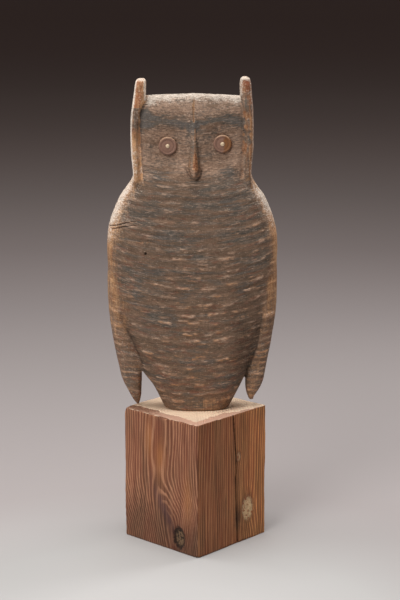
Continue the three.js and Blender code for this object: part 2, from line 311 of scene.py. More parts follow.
class Bench:
    """One material's node tree and the one way to add a node to it."""

    def __init__(self, name: str) -> None:
        """Starts an empty material with this name."""
        self.material = bpy.data.materials.new(name)
        self.material.use_nodes = True
        self.tree = self.material.node_tree
        self.tree.nodes.clear()

    def add(
        self,
        kind: str,
        settings: Optional[dict[str, Any]] = None,
        inputs: Union[Sequence[Any], dict[Any, Any], None] = None,
        output: Union[int, str] = 0,
    ) -> Wire:
        """Adds a node.

        Args:
            kind: The node's type.
            settings: Its own properties, set first.
            inputs: Values or wires, in order or by socket.
            output: The output that is wanted.

        Returns:
            That output as a wire.
        """
        node = self.tree.nodes.new(kind)
        for name, value in (settings or {}).items():
            setattr(node, name, value)
        pairs: Iterable[tuple[Any, Any]]
        pairs = inputs.items() if isinstance(inputs, dict) else enumerate(inputs or [])
        for key, value in pairs:
            if isinstance(value, Wire):
                self.tree.links.new(value.socket, node.inputs[key])
            else:
                node.inputs[key].default_value = value
        return Wire(self, node.outputs[output])

    def place(self) -> Wire:
        """The point in the shared frame, in metres."""
        return self.add("ShaderNodeTexCoord", output="Object")

    def split(self, vector: Wire) -> list[Wire]:
        """The three parts of a vector."""
        parts = self.add("ShaderNodeSeparateXYZ", None, [vector])
        return [Wire(self, socket) for socket in parts.socket.node.outputs]

    def join(self, x: Any, y: Any, z: Any) -> Wire:
        """A vector of three values."""
        return self.add("ShaderNodeCombineXYZ", None, [x, y, z])

    def turned(self, vector: Wire, angle: float) -> Wire:
        """A place turned about the upright by an angle in radians."""
        return self.add("ShaderNodeMapping", None, {"Vector": vector, "Rotation": (0.0, 0.0, angle)})

    def counted(self, vector: Wire, sizes_mm: Sequence[float]) -> Wire:
        """A place in metres, counted in cells of this size in mm along each axis."""
        scale = tuple(1.0 / (size * MM) for size in sizes_mm)
        return self.add("ShaderNodeVectorMath", {"operation": "MULTIPLY"}, [vector, scale])

    def noise(self, vector: Wire, sizes_mm: Sequence[float], detail: float, roughness: float) -> Wire:
        """Cloudy noise of about 0 to 1, with its middle at 0.5.

        Args:
            vector: The place in metres.
            sizes_mm: The clouds' size along each axis.
            detail: How many times finer clouds are added.
            roughness: How strong the finer clouds are.

        Returns:
            The noise.
        """
        cells = self.counted(vector, sizes_mm)
        inputs = {"Vector": cells, "Scale": 1.0, "Detail": detail, "Roughness": roughness}
        return self.add("ShaderNodeTexNoise", {"noise_dimensions": "3D"}, inputs)

    def attributes(self, *names: str) -> list[Wire]:
        """Values that the mesh carries at its points."""
        return [self.add("ShaderNodeAttribute", {"attribute_name": name}, output="Fac") for name in names]

    def blend(self, share: Any, under: Any, over: Any) -> Wire:
        """Lays one colour over another.

        Args:
            share: How much of the upper colour shows.
            under: The colour below.
            over: The colour above.

        Returns:
            The mixed colour.
        """
        return self.add("ShaderNodeMix", {"data_type": "RGBA"}, {0: share, 6: under, 7: over}, 2)

    def tint(self, colour: Wire, strength: Wire) -> Wire:
        """A colour made darker or lighter by a factor."""
        return self.tinted(colour, self.join(strength, strength, strength))

    def tinted(self, colour: Wire, factors: Wire) -> Wire:
        """A colour times one factor for each of red, green and blue."""
        return self.add("ShaderNodeVectorMath", {"operation": "MULTIPLY"}, [colour, factors])

    def finish(
        self, colour: Any, roughness: Any, height: Optional[Wire] = None, depth_mm: float = 0.0,
        **fixed: float,
    ) -> bpy.types.Material:
        """Ends the material in one shader.

        Args:
            colour: Base colour.
            roughness: Roughness, a wire or a number.
            height: Fine relief, about 0 to 1, or none.
            depth_mm: How deep that relief is.
            fixed: Other sockets of the shader, with underscores for spaces.

        Returns:
            The finished material.
        """
        inputs: dict[str, Any] = {"Base Color": colour, "Roughness": roughness}
        inputs.update({name.replace("_", " "): value for name, value in fixed.items()})
        if height is not None:
            bump = {"Strength": 1.0, "Distance": depth_mm * MM, "Height": height}
            inputs["Normal"] = self.add("ShaderNodeBump", None, bump)
        shader = self.add("ShaderNodeBsdfPrincipled", None, inputs)
        output = self.tree.nodes.new("ShaderNodeOutputMaterial")
        self.tree.links.new(shader.socket, output.inputs["Surface"])
        return self.material


def sway(*clouds: tuple[Wire, float]) -> Wire:
    """Adds up noises about their middle.

    Args:
        clouds: Each noise and how much it counts.

    Returns:
        Their sum, which is 0 where all are at their middle.
    """
    return sum(((cloud - 0.5) * gain for cloud, gain in clouds), 0.0)


def rgb(red: float, green: float, blue: float) -> Colour:
    """A colour from values of 0 to 255 as they look on a screen."""
    linear = [((c / 255 + 0.055) / 1.055) ** 2.4 if c > 10 else c / 255 / 12.92 for c in (red, green, blue)]
    return (*linear, 1.0)


@dataclass(frozen=True)
class WornPaint:
    """Old dark paint on carved wood, scuffed on the crests and worn to the wood along edges, with painted
    light and shade that the carving's attributes carry.

    Attributes:
        name: The material's name.
        dark: The thickest paint.
        cool: The same where it has faded grey.
        slate: The fresher paint of the brow.
        thin: Paint worn thin over the wood.
        face: The mottled thin paint of the face.
        scuffed: Paint and wood rubbed pale on the crests.
        ember: The same where the wood under it is warmer.
        flush: Thin paint where red wood shows through.
        wood: Bare wood in the shade of its age.
        ruddy: Redder wood on ears and beak.
        worn: Wood rubbed light.
        ends: Bleached end grain, and the painted light on the ears' outer rims.
        crevice: Dirt in the cracks and the worm hole, and the painted shade in seams and grooves.
    """

    name: str = "worn_painted_wood"
    dark: Colour = rgb(116, 96, 79)
    cool: Colour = rgb(103, 97, 89)
    slate: Colour = rgb(116, 108, 102)
    thin: Colour = rgb(146, 118, 97)
    face: Colour = rgb(184, 151, 128)
    scuffed: Colour = rgb(198, 166, 143)
    ember: Colour = rgb(186, 134, 92)
    flush: Colour = rgb(140, 90, 70)
    wood: Colour = rgb(156, 101, 66)
    ruddy: Colour = rgb(142, 80, 54)
    worn: Colour = rgb(206, 162, 120)
    ends: Colour = rgb(217, 203, 189)
    crevice: Colour = rgb(54, 39, 30)

    def make(self) -> bpy.types.Material:
        """Builds the material.

        Returns:
            The material, which reads the carving's own attributes.
        """
        bench = Bench(self.name)
        place = bench.place()
        x, y, z = bench.split(place)
        flowing = bench.join(x, y, z - (x + 0.004) * (x + 0.004) * 1.4)
        crest, bare, ends, band = bench.attributes("crest", "bare", "ends", "band")
        face, crack, tone_and_painted_light, ruddy = bench.attributes("face", "crack", "tone_and_painted_light", "ruddy")

        patches = bench.noise(flowing, (30, 30, 11), 3.0, 0.6)
        bars = bench.noise(flowing, (42, 42, 5), 2.0, 0.5)
        dashes = bench.noise(flowing, (21, 21, 1.9), 3.0, 0.62)
        threads = bench.noise(flowing, (6, 6, 0.9), 2.0, 0.6)
        warm = bench.noise(flowing, (26, 26, 9), 3.0, 0.65)
        redder = bench.noise(flowing, (19, 19, 4.5), 2.0, 0.6)
        mottle = bench.noise(place, (4.4, 4.4, 2.4), 2.0, 0.65)
        fibres = bench.noise(place, (1.1, 1.1, 24), 2.0, 0.6)
        specks = bench.noise(place, (1.5, 1.5, 1.5), 2.0, 0.7)
        cloud = bench.noise(place, (52, 52, 40), 2.0, 0.5)
        long = bench.noise(place, (4.5, 4.5, 60), 3.0, 0.6)
        behind = y.ease(-0.002, 0.012)

        # Paint: dark and cool where it is thick, red wood through it lower down, mottled on the face
        brow = (band + sway((dashes, 1.3), (mottle, 0.5))).ease(0.25, 0.95) * band.ease(0.0, 0.3)
        tinge = (cloud + sway((bars, 1.4)) + (z - 0.4) * 1.1).ease(0.36, 0.62)
        thick = bench.blend(brow * 0.85, bench.blend(tinge, self.dark, self.cool), self.slate)
        cover = patches * 0.7 + bars * 0.5 + cloud * 0.2 + brow * 0.4 - crest * 0.2 + sway((dashes, 1.0))
        paint = bench.blend(cover.ease(0.45, 0.85), self.thin, thick)
        reddened = (redder - z * 0.26 - brow * 0.3 - face * 0.1).ease(0.43, 0.62)
        paint = bench.blend(reddened * 0.58, paint, self.flush)
        blots = sway((mottle, 1.7), (threads, 0.8), (dashes, 0.5), (patches, 1.2))
        spots = (face + blots - brow * 0.9).ease(0.2, 1.15)
        paint = bench.blend(spots * face.ease(0.0, 0.5), paint, self.face)

        # Scuffs: on the crests and in streaks, which run down the back
        streaks = sway((dashes, 1.9), (threads, 1.6)) * (1.0 - behind * 0.85) + sway((bars, 1.0))
        streaks = streaks + sway((long, 2.2)) * behind
        rubbed = crest * (dashes * 0.5 + threads * 0.5 + mottle * 0.75 - 0.28) + streaks - brow * 0.15
        glow = (warm - (z - 0.34) * 0.7).ease(0.42, 0.66)
        scuffs = bench.blend(glow, self.scuffed, self.ember)
        colour = bench.blend(rubbed.ease(0.0, 1.0) * 0.9, paint, scuffs)

        # Bare wood, end grain pale from bleaching with painted light on the ears' rims, painted light and
        # shade, and dark cracks with painted shade in the grooves
        grain = (fibres * 0.9 + cloud * 0.3 + specks * 0.3 - ruddy * 0.3).ease(0.5, 0.95)
        wood = bench.blend((ruddy * (0.5 + mottle)).within(), self.wood, self.ruddy)
        wood = bench.blend(grain, wood, self.worn)
        shown = (bare * 1.4 + sway((patches, 1.2), (dashes, 0.8), (long, 1.3), (mottle, 0.9))).ease(0.2, 1.15)
        colour = bench.blend(shown * 0.94, colour, wood)
        bleach_and_rim_light = (ends + sway((specks, 2.1), (threads, 0.9), (mottle, 0.6))).ease(0.25, 1.0)
        colour = bench.blend(bleach_and_rim_light, colour, self.ends)
        # Painted light and shade: the crests lighter and the hollows darker, with the carving's painted light
        # and shade and the paint's own darker and lighter tone
        painted_light_and_tone = crest * 0.16 + bars * 0.5 - tone_and_painted_light * 0.42 - 0.35
        colour = bench.tint(colour, fibres * 0.4 + specks * 0.75 + threads * 0.95 + painted_light_and_tone)
        colour = bench.blend(crack.within(), colour, self.crevice)

        height = fibres * 0.3 + specks * (0.35 + ends * 1.1) + dashes * 0.7 + mottle * face * 0.5
        return bench.finish(colour, 0.62 + specks * 0.3, height, 0.6, Specular_IOR_Level=0.3)


@dataclass(frozen=True)
class EyeStain:
    """Turned wood under a worn purplish stain.

    Attributes:
        name: The material's name.
        stain: The stain where it is whole.
        wood: The wood where the stain has gone brown.
        worn: The wood where it is rubbed, and the painted highlight on the upper rim.
        dirt_and_painted_shade: Darker in the groove and round the nail, and the painted shade on the lower
            rim.
    """

    name: str = "eye_stain"
    stain: Colour = rgb(156, 118, 100)
    wood: Colour = rgb(146, 95, 54)
    worn: Colour = rgb(206, 168, 138)
    dirt_and_painted_shade: Colour = rgb(84, 62, 52)

    def make(self) -> bpy.types.Material:
        """Builds the material; the discs carry how worn each point is, with a painted highlight on the upper
        rim, and how dirty, with painted shade on the lower rim.
        """
        bench = Bench(self.name)
        place = bench.place()
        streaks = bench.noise(place, (7, 7, 1.2), 3.0, 0.6)
        blots = bench.noise(place, (4.6, 4.6, 3.4), 2.0, 0.6)
        specks = bench.noise(place, (1.0, 1.0, 1.0), 2.0, 0.6)
        worn, dirt_and_painted_shade, bare = bench.attributes("worn", "dirt_and_painted_shade", "bare")
        # The rubbed wood also carries the painted highlight on the upper rim
        share = (worn * 0.8 + (streaks - 0.5) * 1.6).ease(0.2, 0.9)
        colour = bench.blend((bare * 1.3 + (blots - 0.5) * 1.8).ease(0.15, 0.95), self.stain, self.wood)
        colour = bench.blend(share, colour, self.worn)
        colour = bench.tint(colour, 0.42 + specks * 0.8 + streaks * 0.36)
        # Darker in the groove and round the nail, with painted shade on the lower rim
        colour = bench.blend(dirt_and_painted_shade * (0.4 + specks * 0.6), colour, self.dirt_and_painted_shade)
        return bench.finish(colour, 0.5 + streaks * 0.25, streaks * 0.6 + specks * 0.4, 0.2)


@dataclass(frozen=True)
class NailMetal:
    """A dull pale nail with a brown bloom of rust."""

    name: str = "old_nail"
    metal: Colour = rgb(246, 222, 188)
    rust: Colour = rgb(160, 112, 78)

    def make(self) -> bpy.types.Material:
        """Builds the material."""
        bench = Bench(self.name)
        place = bench.place()
        bloom = bench.noise(place, (1.4, 1.4, 1.4), 3.0, 0.6)
        colour = bench.blend(bloom.ease(0.52, 0.8), self.metal, self.rust)
        return bench.finish(colour, 0.42 + bloom * 0.3, bloom, 0.1, Metallic=0.15)


@dataclass(frozen=True)
class FirGrain:
    """The growth rings of the timber, in its own frame before it is turned; all in mm.

    Attributes:
        pith_low: The pith's depth behind the left face at the underside.
        pith_high: The same at the sawn top.
        along_low: The pith's place along the left face at the underside.
        along_high: The same from 110 mm up.
        ring: From one ring to the next.
        edge_line: From one line to the next on the right-hand faces, which were cut across the rings.
        half: Half of the timber's side.
    """

    pith_low: float = 9.0
    pith_high: float = 33.0
    along_low: float = -30.0
    along_high: float = 5.0
    ring: float = 4.3
    edge_line: float = 4.6
    half: float = TIMBER_SIDE / 2

    def rings(self, x: Any, y: Any, z: Any) -> Any:
        """Counts rings out from the pith.

        Args:
            x: Across the left face's depth, an array or a wire.
            y: Along the left face.
            z: Height.

        Returns:
            The number of rings between the pith and the point, of the same kind.
        """
        depth = self.pith_low + ease(z, -6.0, 116.0) * (self.pith_high - self.pith_low)
        dx = x + self.half - depth
        lean = (self.along_high - self.along_low) * (0.35 + 0.65 * ease(y, -70.0, -30.0))
        dy = y - self.along_high + (1.0 - ease(z, -10.0, 110.0)) * lean - sine(z * 0.021 + 0.6) * 2.0
        radius = root(dx * dx + dy * dy * 1.08)
        waver = sine(z * 0.043 + y * 0.05 + x * 0.03) * 1.1 + sine(z * 0.019 - y * 0.034 + 2.0) * 1.7
        waver = waver + sine(z * 0.11 + y * 0.21 - x * 0.17) * 0.28
        return (radius + waver + self._aside(x, y, z)) * (1.0 / self.ring)

    def lines(self, x: Any, y: Any, z: Any) -> Any:
        """Counts the lines of a side face.

        Args:
            x: Across the left face's depth, an array or a wire.
            y: Along the left face.
            z: Height.

        Returns:
            The rings on the left-hand faces, and close upright lines on the right-hand ones.
        """
        rings = self.rings(x, y, z)
        run = x - y
        wander = sine(run * 0.13 + 0.5) * 1.6 + sine(z * 0.021 + run * 0.045) * 1.7
        wander = wander + sine(z * 0.007 + 1.0) * 3.0
        upright = (run + wander - self._aside(x, y, z) * 0.7) * (1.0 / self.edge_line)
        return rings + (upright - rings) * ease(run, 0.0, 0.5)

    def _aside(self, x: Any, y: Any, z: Any) -> Any:
        """How far the knots push the rings aside at a point."""
        return sum((knot.bulge(x, y, z) for knot in KNOTS), 0.0)


@dataclass(frozen=True)
class Knot:
    """A knot that comes out of one face of the timber; all in mm.

    Attributes:
        face: The face that it shows in.
        along: Its place along that face, in the timber's frame.
        up: Its height.
        wide: Half its width.
        tall: Half its height.
        push: How far it pushes the rings aside.
        sunk: How deep its middle has shrunk.
        dark: It has a black rim of bark and cracks.
    """

    face: TimberFace
    along: float
    up: float
    wide: float
    tall: float
    push: float
    sunk: float
    dark: bool

    def spread(self, x: Any, y: Any, z: Any) -> Any:
        """How far a point is from the knot's middle, 1 at the knot's edge."""
        along = y if self.face is TimberFace.LEFT else x
        a = (along - self.along) * (1.0 / self.wide)
        b = (z - self.up) * (1.0 / self.tall)
        return root(a * a + b * b + 0.0001)

    def near(self, x: Any, y: Any) -> Any:
        """1 at the knot's own face, 0 from 25 mm behind it."""
        return ease(x if self.face is TimberFace.LEFT else y, -45.0, -62.0)

    def bulge(self, x: Any, y: Any, z: Any) -> Any:
        """How far the knot moves the rings at a point."""
        return bell(self.spread(x, y, z), 1.7) * self.near(x, y) * self.push


KNOTS = (
    Knot(TimberFace.LEFT, -34.5, 20.5, 9.6, 14.5, 9.0, 2.2, True),
    Knot(TimberFace.RIGHT, 33.0, 46.5, 12.5, 19.0, -9.0, 0.5, False),
    Knot(TimberFace.RIGHT, 14.0, 127.0, 5.0, 7.0, -5.0, 0.3, False),
)


@dataclass
class FirPlace:
    """What the timber's finish reads at a point: its place in mm, the grain there, and noises.

    Attributes:
        bench: The material's bench.
        grain: The timber's rings.
        turn: The timber's turn about the upright, in degrees.
        shell: Where a side face's own wood begins, and where it is reached, mm from the middle.
    """

    bench: Bench
    grain: FirGrain
    turn: float
    shell: tuple[float, float]

    def __post_init__(self) -> None:
        """Lays the wires that several parts of the finish use."""
        self.place = self.bench.turned(self.bench.place(), -math.radians(self.turn))
        x, y, z = self.x, self.y, self.z = self.bench.split(self.bench.counted(self.place, (1, 1, 1)))
        self.shade = self.noise((26.0, 26.0, 80.0), 3.0, 0.55)
        self.fibres = self.noise((0.9, 0.9, 26.0))
        self.specks = self.noise((1.3, 1.3, 1.3), 2.0, 0.7)
        self.wear = self.noise((7.0, 7.0, 34.0), 2.0, 0.55)
        self.lines = self.noise((1.7, 1.7, 110.0), 2.0, 0.5)
        self.lobes = self.noise((4.2, 4.2, 5.0))
        self.torn = self.noise((2.0, 30.0, 1.5))
        part = (self.grain.lines(x, y, z) + sway((self.noise((3.0, 3.0, 40.0)), 0.45))).fraction()
        self.raised = part.ease(0.42, 0.74) * part.ease(1.0, 0.9)
        self.right = y.ease(*self.shell) * (x - y).ease(-1.5, 1.5)
        self.left = x.ease(*self.shell) * (y - x).ease(-1.5, 1.5)

    def noise(self, sizes_mm: Sequence[float], detail: float = 2.0, roughness: float = 0.6) -> Wire:
        """Cloudy noise in the timber's own frame, of about 0 to 1."""
        return self.bench.noise(self.place, sizes_mm, detail, roughness)


@dataclass(frozen=True)
class OldFir:
    """Weathered fir: red-brown between pale raised rings, cream where it was sawn across.

    Attributes:
        name: The material's name.
        turn: The timber's turn about the upright, in degrees.
        reach: Where the rings turn away from the right face, mm from its middle.
        shell: Where a side face's own wood begins, and where it is reached, mm from the middle.
        red: The softer wood between the rings.
        brown: The same where it is darker.
        ring: The raised rings.
        heart: The purplish wood inside the arch of the left face.
        flame: The warmer wood around that arch.
        flames: Its places on the left face: along, up, half width and half height, mm.
        sawn: The sawn top.
        splinter: Splinters at the arris.
        torn_pale: The torn strip inside the top's front edges.
        torn_deep: The same where the wood broke away deeper.
        knot_dark: The bark around a knot and its cracks.
        knot_pale: The middle of a dark knot.
        knot_light: The middle of the pale one.
        crevice: The inside of cracks.
    """

    name: str = "old_timber"
    turn: float = TIMBER_TURN
    reach: float = 42.0
    shell: tuple[float, float] = (-60.0, -66.0)
    red: Colour = rgb(134, 82, 62)
    brown: Colour = rgb(112, 77, 57)
    ring: Colour = rgb(196, 148, 118)
    heart: Colour = rgb(104, 72, 70)
    flame: Colour = rgb(184, 126, 76)
    flames: tuple[tuple[float, float, float, float], ...] = (
        (1, 128, 9, 26), (23, 152, 7, 26), (-50, 78, 8, 34),
    )
    sawn: Colour = rgb(248, 220, 190)
    splinter: Colour = rgb(208, 158, 132)
    torn_pale: Colour = rgb(198, 154, 132)
    torn_deep: Colour = rgb(168, 116, 92)
    knot_dark: Colour = rgb(56, 38, 29)
    knot_pale: Colour = rgb(170, 142, 112)
    knot_light: Colour = rgb(198, 184, 174)
    crevice: Colour = rgb(52, 24, 15)

    def make(self, grain: FirGrain) -> bpy.types.Material:
        """Builds the material.

        Args:
            grain: The timber's rings.

        Returns:
            The material, which reads the timber's own attributes.
        """
        bench = Bench(self.name)
        fir = FirPlace(bench, grain, self.turn, self.shell)
        worn, torn, crack, sawn = bench.attributes("worn", "torn", "crack", "sawn")
        colour = self._knotted(fir, self._grown(fir, worn))
        colour = self._splintered(fir, self._lit(fir, colour))
        sawn = (sawn + sway((fir.fibres, 0.3))).ease(0.35, 0.75)
        colour = bench.blend(sawn, colour, self._top(fir, torn))
        colour = bench.tint(colour, 0.4 + sawn * 0.08 + fir.fibres * 0.65 + fir.specks * 0.55)
        colour = bench.blend(crack.within(), colour, self.crevice)
        height = fir.raised * 0.8 + fir.fibres * 0.4 + fir.specks * 0.15 + fir.lines * 0.5
        return bench.finish(colour, 0.6 + fir.fibres * 0.25, height, 0.5, Specular_IOR_Level=0.35)

    def _grown(self, fir: FirPlace, worn: Wire) -> Wire:
        """The sides' rings, the arch's heart, worn edges and stain, from the softer wood outwards.

        Args:
            fir: The place on the timber.
            worn: How worn it is.

        Returns:
            The colour.
        """
        bench, x, y, z = fir.bench, fir.x, fir.y, fir.z
        colour = bench.blend(fir.shade.ease(0.35, 0.65), self.red, self.brown)
        heart = bell(y + 9.0 - (z - 50.0) * 0.6, 9.5) * bell(z - 54.0, 31.0) * fir.left
        colour = bench.blend((heart * (0.85 + fir.wear * 0.5)).within(), colour, self.heart)
        for along, up, wide, tall in self.flames:
            flame = bell(y - along, wide) * bell(z - up, tall) * fir.left
            colour = bench.blend(flame * 0.7, colour, self.flame)
        colour = bench.blend(fir.lines.ease(0.5, 0.62) * 0.3, colour, self.ring)
        across = (x + self.reach).magnitude() / (root((x + self.reach) * (x + self.reach) + 2600.0))
        steep = fir.left + fir.right * 0.72 + (1.0 - fir.left - fir.right).within() * across * 0.62
        rings = fir.raised * steep * (0.2 + fir.wear * 1.1 - heart * 0.9).within()
        colour = bench.blend(rings, colour, self.ring)
        dark_lines = (1.0 - fir.lines).ease(0.54, 0.66) * (0.28 + fir.right * 0.06)
        colour = bench.blend(dark_lines, colour, self.crevice)
        colour = bench.blend((worn * (0.45 + fir.fibres * 0.7)).within(), colour, self.ring)
        stain = bell(x - 12.0 - sway((fir.lobes, 9.0)), 5.5) * bell(z - 38.0, 21.0) * fir.right
        return bench.blend((stain * (0.5 + fir.wear * 0.7)).within(), colour, self.knot_dark)

    def _knotted(self, fir: FirPlace, colour: Wire) -> Wire:
        """Adds the knots to a colour: each one's middle, and its bark."""
        bench = fir.bench
        clefts = fir.noise((2.0, 2.0, 9.0))
        for knot in KNOTS:
            spread = knot.spread(fir.x, fir.y, fir.z) + sway((fir.specks, 0.35), (fir.lobes, 0.9))
            near = knot.near(fir.x, fir.y)
            cores = (self.knot_dark, self.knot_pale) if knot.dark else (self.red, self.knot_light)
            pith = bench.blend(fir.lobes.ease(0.34, 0.54) * min(1.0, knot.wide / 6.0 - 0.3), *cores)
            pith = bench.blend(clefts.ease(0.56, 0.62) * (0.7 if knot.dark else 0.45), pith, self.knot_dark)
            middle = spread.ease(1.1, 0.75) * near
            colour = bench.blend(middle * (1.0 if knot.dark else 0.8), colour, pith)
            bark = bell(spread - 0.98, 0.22) * near
            colour = bench.blend(bark * (0.95 if knot.dark else 0.3), colour, self.knot_dark)
        return colour

    def _lit(self, fir: FirPlace, colour: Wire) -> Wire:
        """Warms the right face and paints light on it that grows away from the front corner, and makes the
        left face darker at its foot and towards the front corner.
        """
        # Painted light: the right face grows lighter away from the front corner
        lit = fir.right * (0.03 + fir.x.ease(-30.0, 66.0) * 0.45)
        painted_light_warmth = fir.bench.join(
            1.05 - fir.right * 0.01 + lit * 1.68,
            0.935 - fir.right * 0.06 + lit * 1.5,
            0.85 - fir.right * 0.2 + lit * 0.76,
        )
        colour = fir.bench.tinted(colour, painted_light_warmth)
        low = (fir.z - fir.shade * 40.0).ease(58.0, 8.0) * fir.left
        corner = fir.left * (0.03 - fir.y.ease(20.0, -30.0) * 0.08)
        return fir.bench.tint(colour, 1.0 - low * 0.4 + corner)

    def _sliver(self, fir: FirPlace) -> Wire:
        """The colour of splinters."""
        return fir.bench.blend(fir.torn.ease(0.37, 0.47), self.brown, self.splinter)

    def _splintered(self, fir: FirPlace, colour: Wire) -> Wire:
        """Adds the splintered strip under the sawn top's front edges to a colour."""
        lower = fir.y.ease(22.0, -12.0) * 0.8 + 0.6 - fir.x.ease(-66.0, -40.0) * 0.6
        edge = fir.z + sway((fir.wear, 2.5), (fir.torn, 3.0)) + lower
        sides = fir.left + fir.right
        colour = fir.bench.blend(edge.ease(190.2, 191.4) * sides * 0.9, colour, self._sliver(fir))
        return fir.bench.blend(bell(edge - 189.6, 0.8) * sides * 0.3, colour, self.crevice)

    def _top(self, fir: FirPlace, torn: Wire) -> Wire:
        """The sawn top: its rings, painted shade towards its front, a frayed place, and the strip that is
        torn out along its front edges.

        Args:
            fir: The place on the timber.
            torn: How torn it is.

        Returns:
            The colour.
        """
        bench, x, y = fir.bench, fir.x, fir.y
        rings = fir.grain.rings(x, y, fir.z).fraction().ease(0.42, 0.74)
        # Painted shade: the sawn top grows darker towards the front
        painted_shade_nearer = bench.split(bench.place())[1].ease(-0.03, -0.085)
        top = bench.tint(bench.blend(rings * 0.25, self.sawn, self.splinter), 1.1 - painted_shade_nearer * 0.28)
        off = y + 50.0 + (x - 13.0) * 0.1 + sway((fir.lobes, 4.0))
        frayed = bell(off, 4.0) * bell(x - 13.0, 25.0) * fir.torn.ease(0.56, 0.46)
        top = bench.blend(frayed.within() * 0.85, top, self._sliver(fir))
        ripped = (torn + sway((fir.lobes, 0.5), (fir.torn, 0.5))).ease(0.3, 0.7)
        deeper = (y + sway((fir.lobes, 30.0), (fir.torn, 60.0))).ease(0.0, 34.0)
        furrowed = bench.blend(fir.torn.ease(0.4, 0.58), self.brown, self.torn_deep)
        top = bench.blend(ripped * 0.92, top, bench.blend(deeper, self.torn_pale, furrowed))
        brink = bell(torn - 0.5, 0.3) * bell(y - 18.0, 26.0) * x.ease(0.0, -30.0)
        return bench.blend(brink * 0.55, top, self.crevice)


@dataclass(frozen=True)
class StudioPaper:
    """A pale floor with a painted pool of light, brightest around the object, whose painted tone deepens away
    from it.

    Attributes:
        name: The material's name.
        middle: The middle of its painted pool of light, in metres.
        light_falloff_tones: Distance from there in metres, and the tone at that distance.
    """

    name: str = "studio_paper"
    middle: tuple[float, float] = (-0.05, -0.35)
    light_falloff_tones: tuple[tuple[float, Colour], ...] = (
        (0.16, (0.590, 0.580, 0.574, 1.0)),
        (0.3, (0.545, 0.535, 0.528, 1.0)),
        (0.55, (0.441, 0.402, 0.399, 1.0)),
        (0.9, (0.405, 0.367, 0.365, 1.0)),
        (1.3, (0.380, 0.343, 0.340, 1.0)),
        (1.9, (0.359, 0.318, 0.316, 1.0)),
        (2.8, (0.359, 0.306, 0.300, 1.0)),
        (4.0, (0.404, 0.340, 0.326, 1.0)),
        (6.0, (0.489, 0.390, 0.366, 1.0)),
        (9.0, (0.550, 0.435, 0.402, 1.0)),
        (18.0, (0.500, 0.364, 0.331, 1.0)),
        (36.0, (0.468, 0.335, 0.302, 1.0)),
    )

    def make(self) -> bpy.types.Material:
        """Builds the material."""
        bench = Bench(self.name)
        x, y, _ = bench.split(bench.place())
        out = root((x - self.middle[0]) * (x - self.middle[0]) + (y - self.middle[1]) * (y - self.middle[1]))
        out = out.calculate("LOGARITHM", 10.0)
        # The painted pool of light and its falloff, from one listed distance to the next
        colour: Any = self.light_falloff_tones[0][1]
        for (near, _), (far, tone) in zip(self.light_falloff_tones, self.light_falloff_tones[1:]):
            start, span = math.log10(near), math.log10(far / near)
            colour = bench.blend(((out - start) * (1.0 / span)).within(), colour, tone)
        return bench.finish(colour, 0.9, Specular_IOR_Level=0.1)


# Working a mesh


def hold(piece: bpy.types.Object) -> None:
    """Makes a piece the only selected object, and the active one."""
    release()
    piece.select_set(True)
    bpy.context.view_layer.objects.active = piece


def release() -> None:
    """Deselects every object."""
    for item in list(bpy.context.selected_objects):
        item.select_set(False)


def shape_with(piece: bpy.types.Object, kind: str, **settings: Any) -> None:
    """Adds one modifier and applies it.

    Args:
        piece: The piece that it shapes.
        kind: The modifier's type.
        settings: Its properties.
    """
    hold(piece)
    modifier = piece.modifiers.new(kind.title(), kind)
    for name, value in settings.items():
        setattr(modifier, name, value)
    bpy.ops.object.modifier_apply(modifier=modifier.name)


def edit(piece: bpy.types.Object, picked: Optional[Array] = None, faces: bool = False) -> None:
    """Opens a piece in edit mode with chosen points or faces selected.

    Args:
        piece: The piece to edit.
        picked: One flag for each point, or for each face; all of them where it is left out.
        faces: The flags are for faces.
    """
    hold(piece)
    mesh = piece.data
    bpy.context.tool_settings.mesh_select_mode = (not faces, False, faces)
    counts = (mesh.vertices, mesh.edges, mesh.polygons)
    for part in counts:
        part.foreach_set("select", np.zeros(len(part), bool))
    chosen = mesh.polygons if faces else mesh.vertices
    chosen.foreach_set("select", np.ones(len(chosen), bool) if picked is None else picked)
    bpy.ops.object.mode_set(mode="EDIT")
    bpy.ops.mesh.select_mode(type="FACE" if faces else "VERT")


def close_edit() -> None:
    """Goes back to object mode."""
    bpy.ops.object.mode_set(mode="OBJECT")


def close_up() -> None:
    """Joins the opened piece's doubled points, turns its faces outwards, and leaves edit mode."""
    bpy.ops.mesh.select_all(action="SELECT")
    bpy.ops.mesh.remove_doubles(threshold=JOINED)
    bpy.ops.mesh.normals_make_consistent(inside=False)
    close_edit()


def points_of(piece: bpy.types.Object) -> Array:
    """A piece's points, one to a row, in metres."""
    flat = np.empty(len(piece.data.vertices) * 3)
    piece.data.vertices.foreach_get("co", flat)
    return flat.reshape(-1, 3)


def normals_of(piece: bpy.types.Object) -> Array:
    """The outward direction at each of a piece's points."""
    flat = np.empty(len(piece.data.vertices) * 3, np.float32)
    piece.data.vertices.foreach_get("normal", flat)
    return flat.reshape(-1, 3).astype(float)


def set_points(piece: bpy.types.Object, points: Array) -> None:
    """Moves a piece's points to new places, in metres."""
    piece.data.vertices.foreach_set("co", points.ravel())
    piece.data.update()


def note(piece: bpy.types.Object, name: str, values: Array) -> None:
    """Writes one value for each point, for the material to read."""
    attribute = piece.data.attributes.new(name, "FLOAT", "POINT")
    attribute.data.foreach_set("value", np.asarray(values, np.float32))


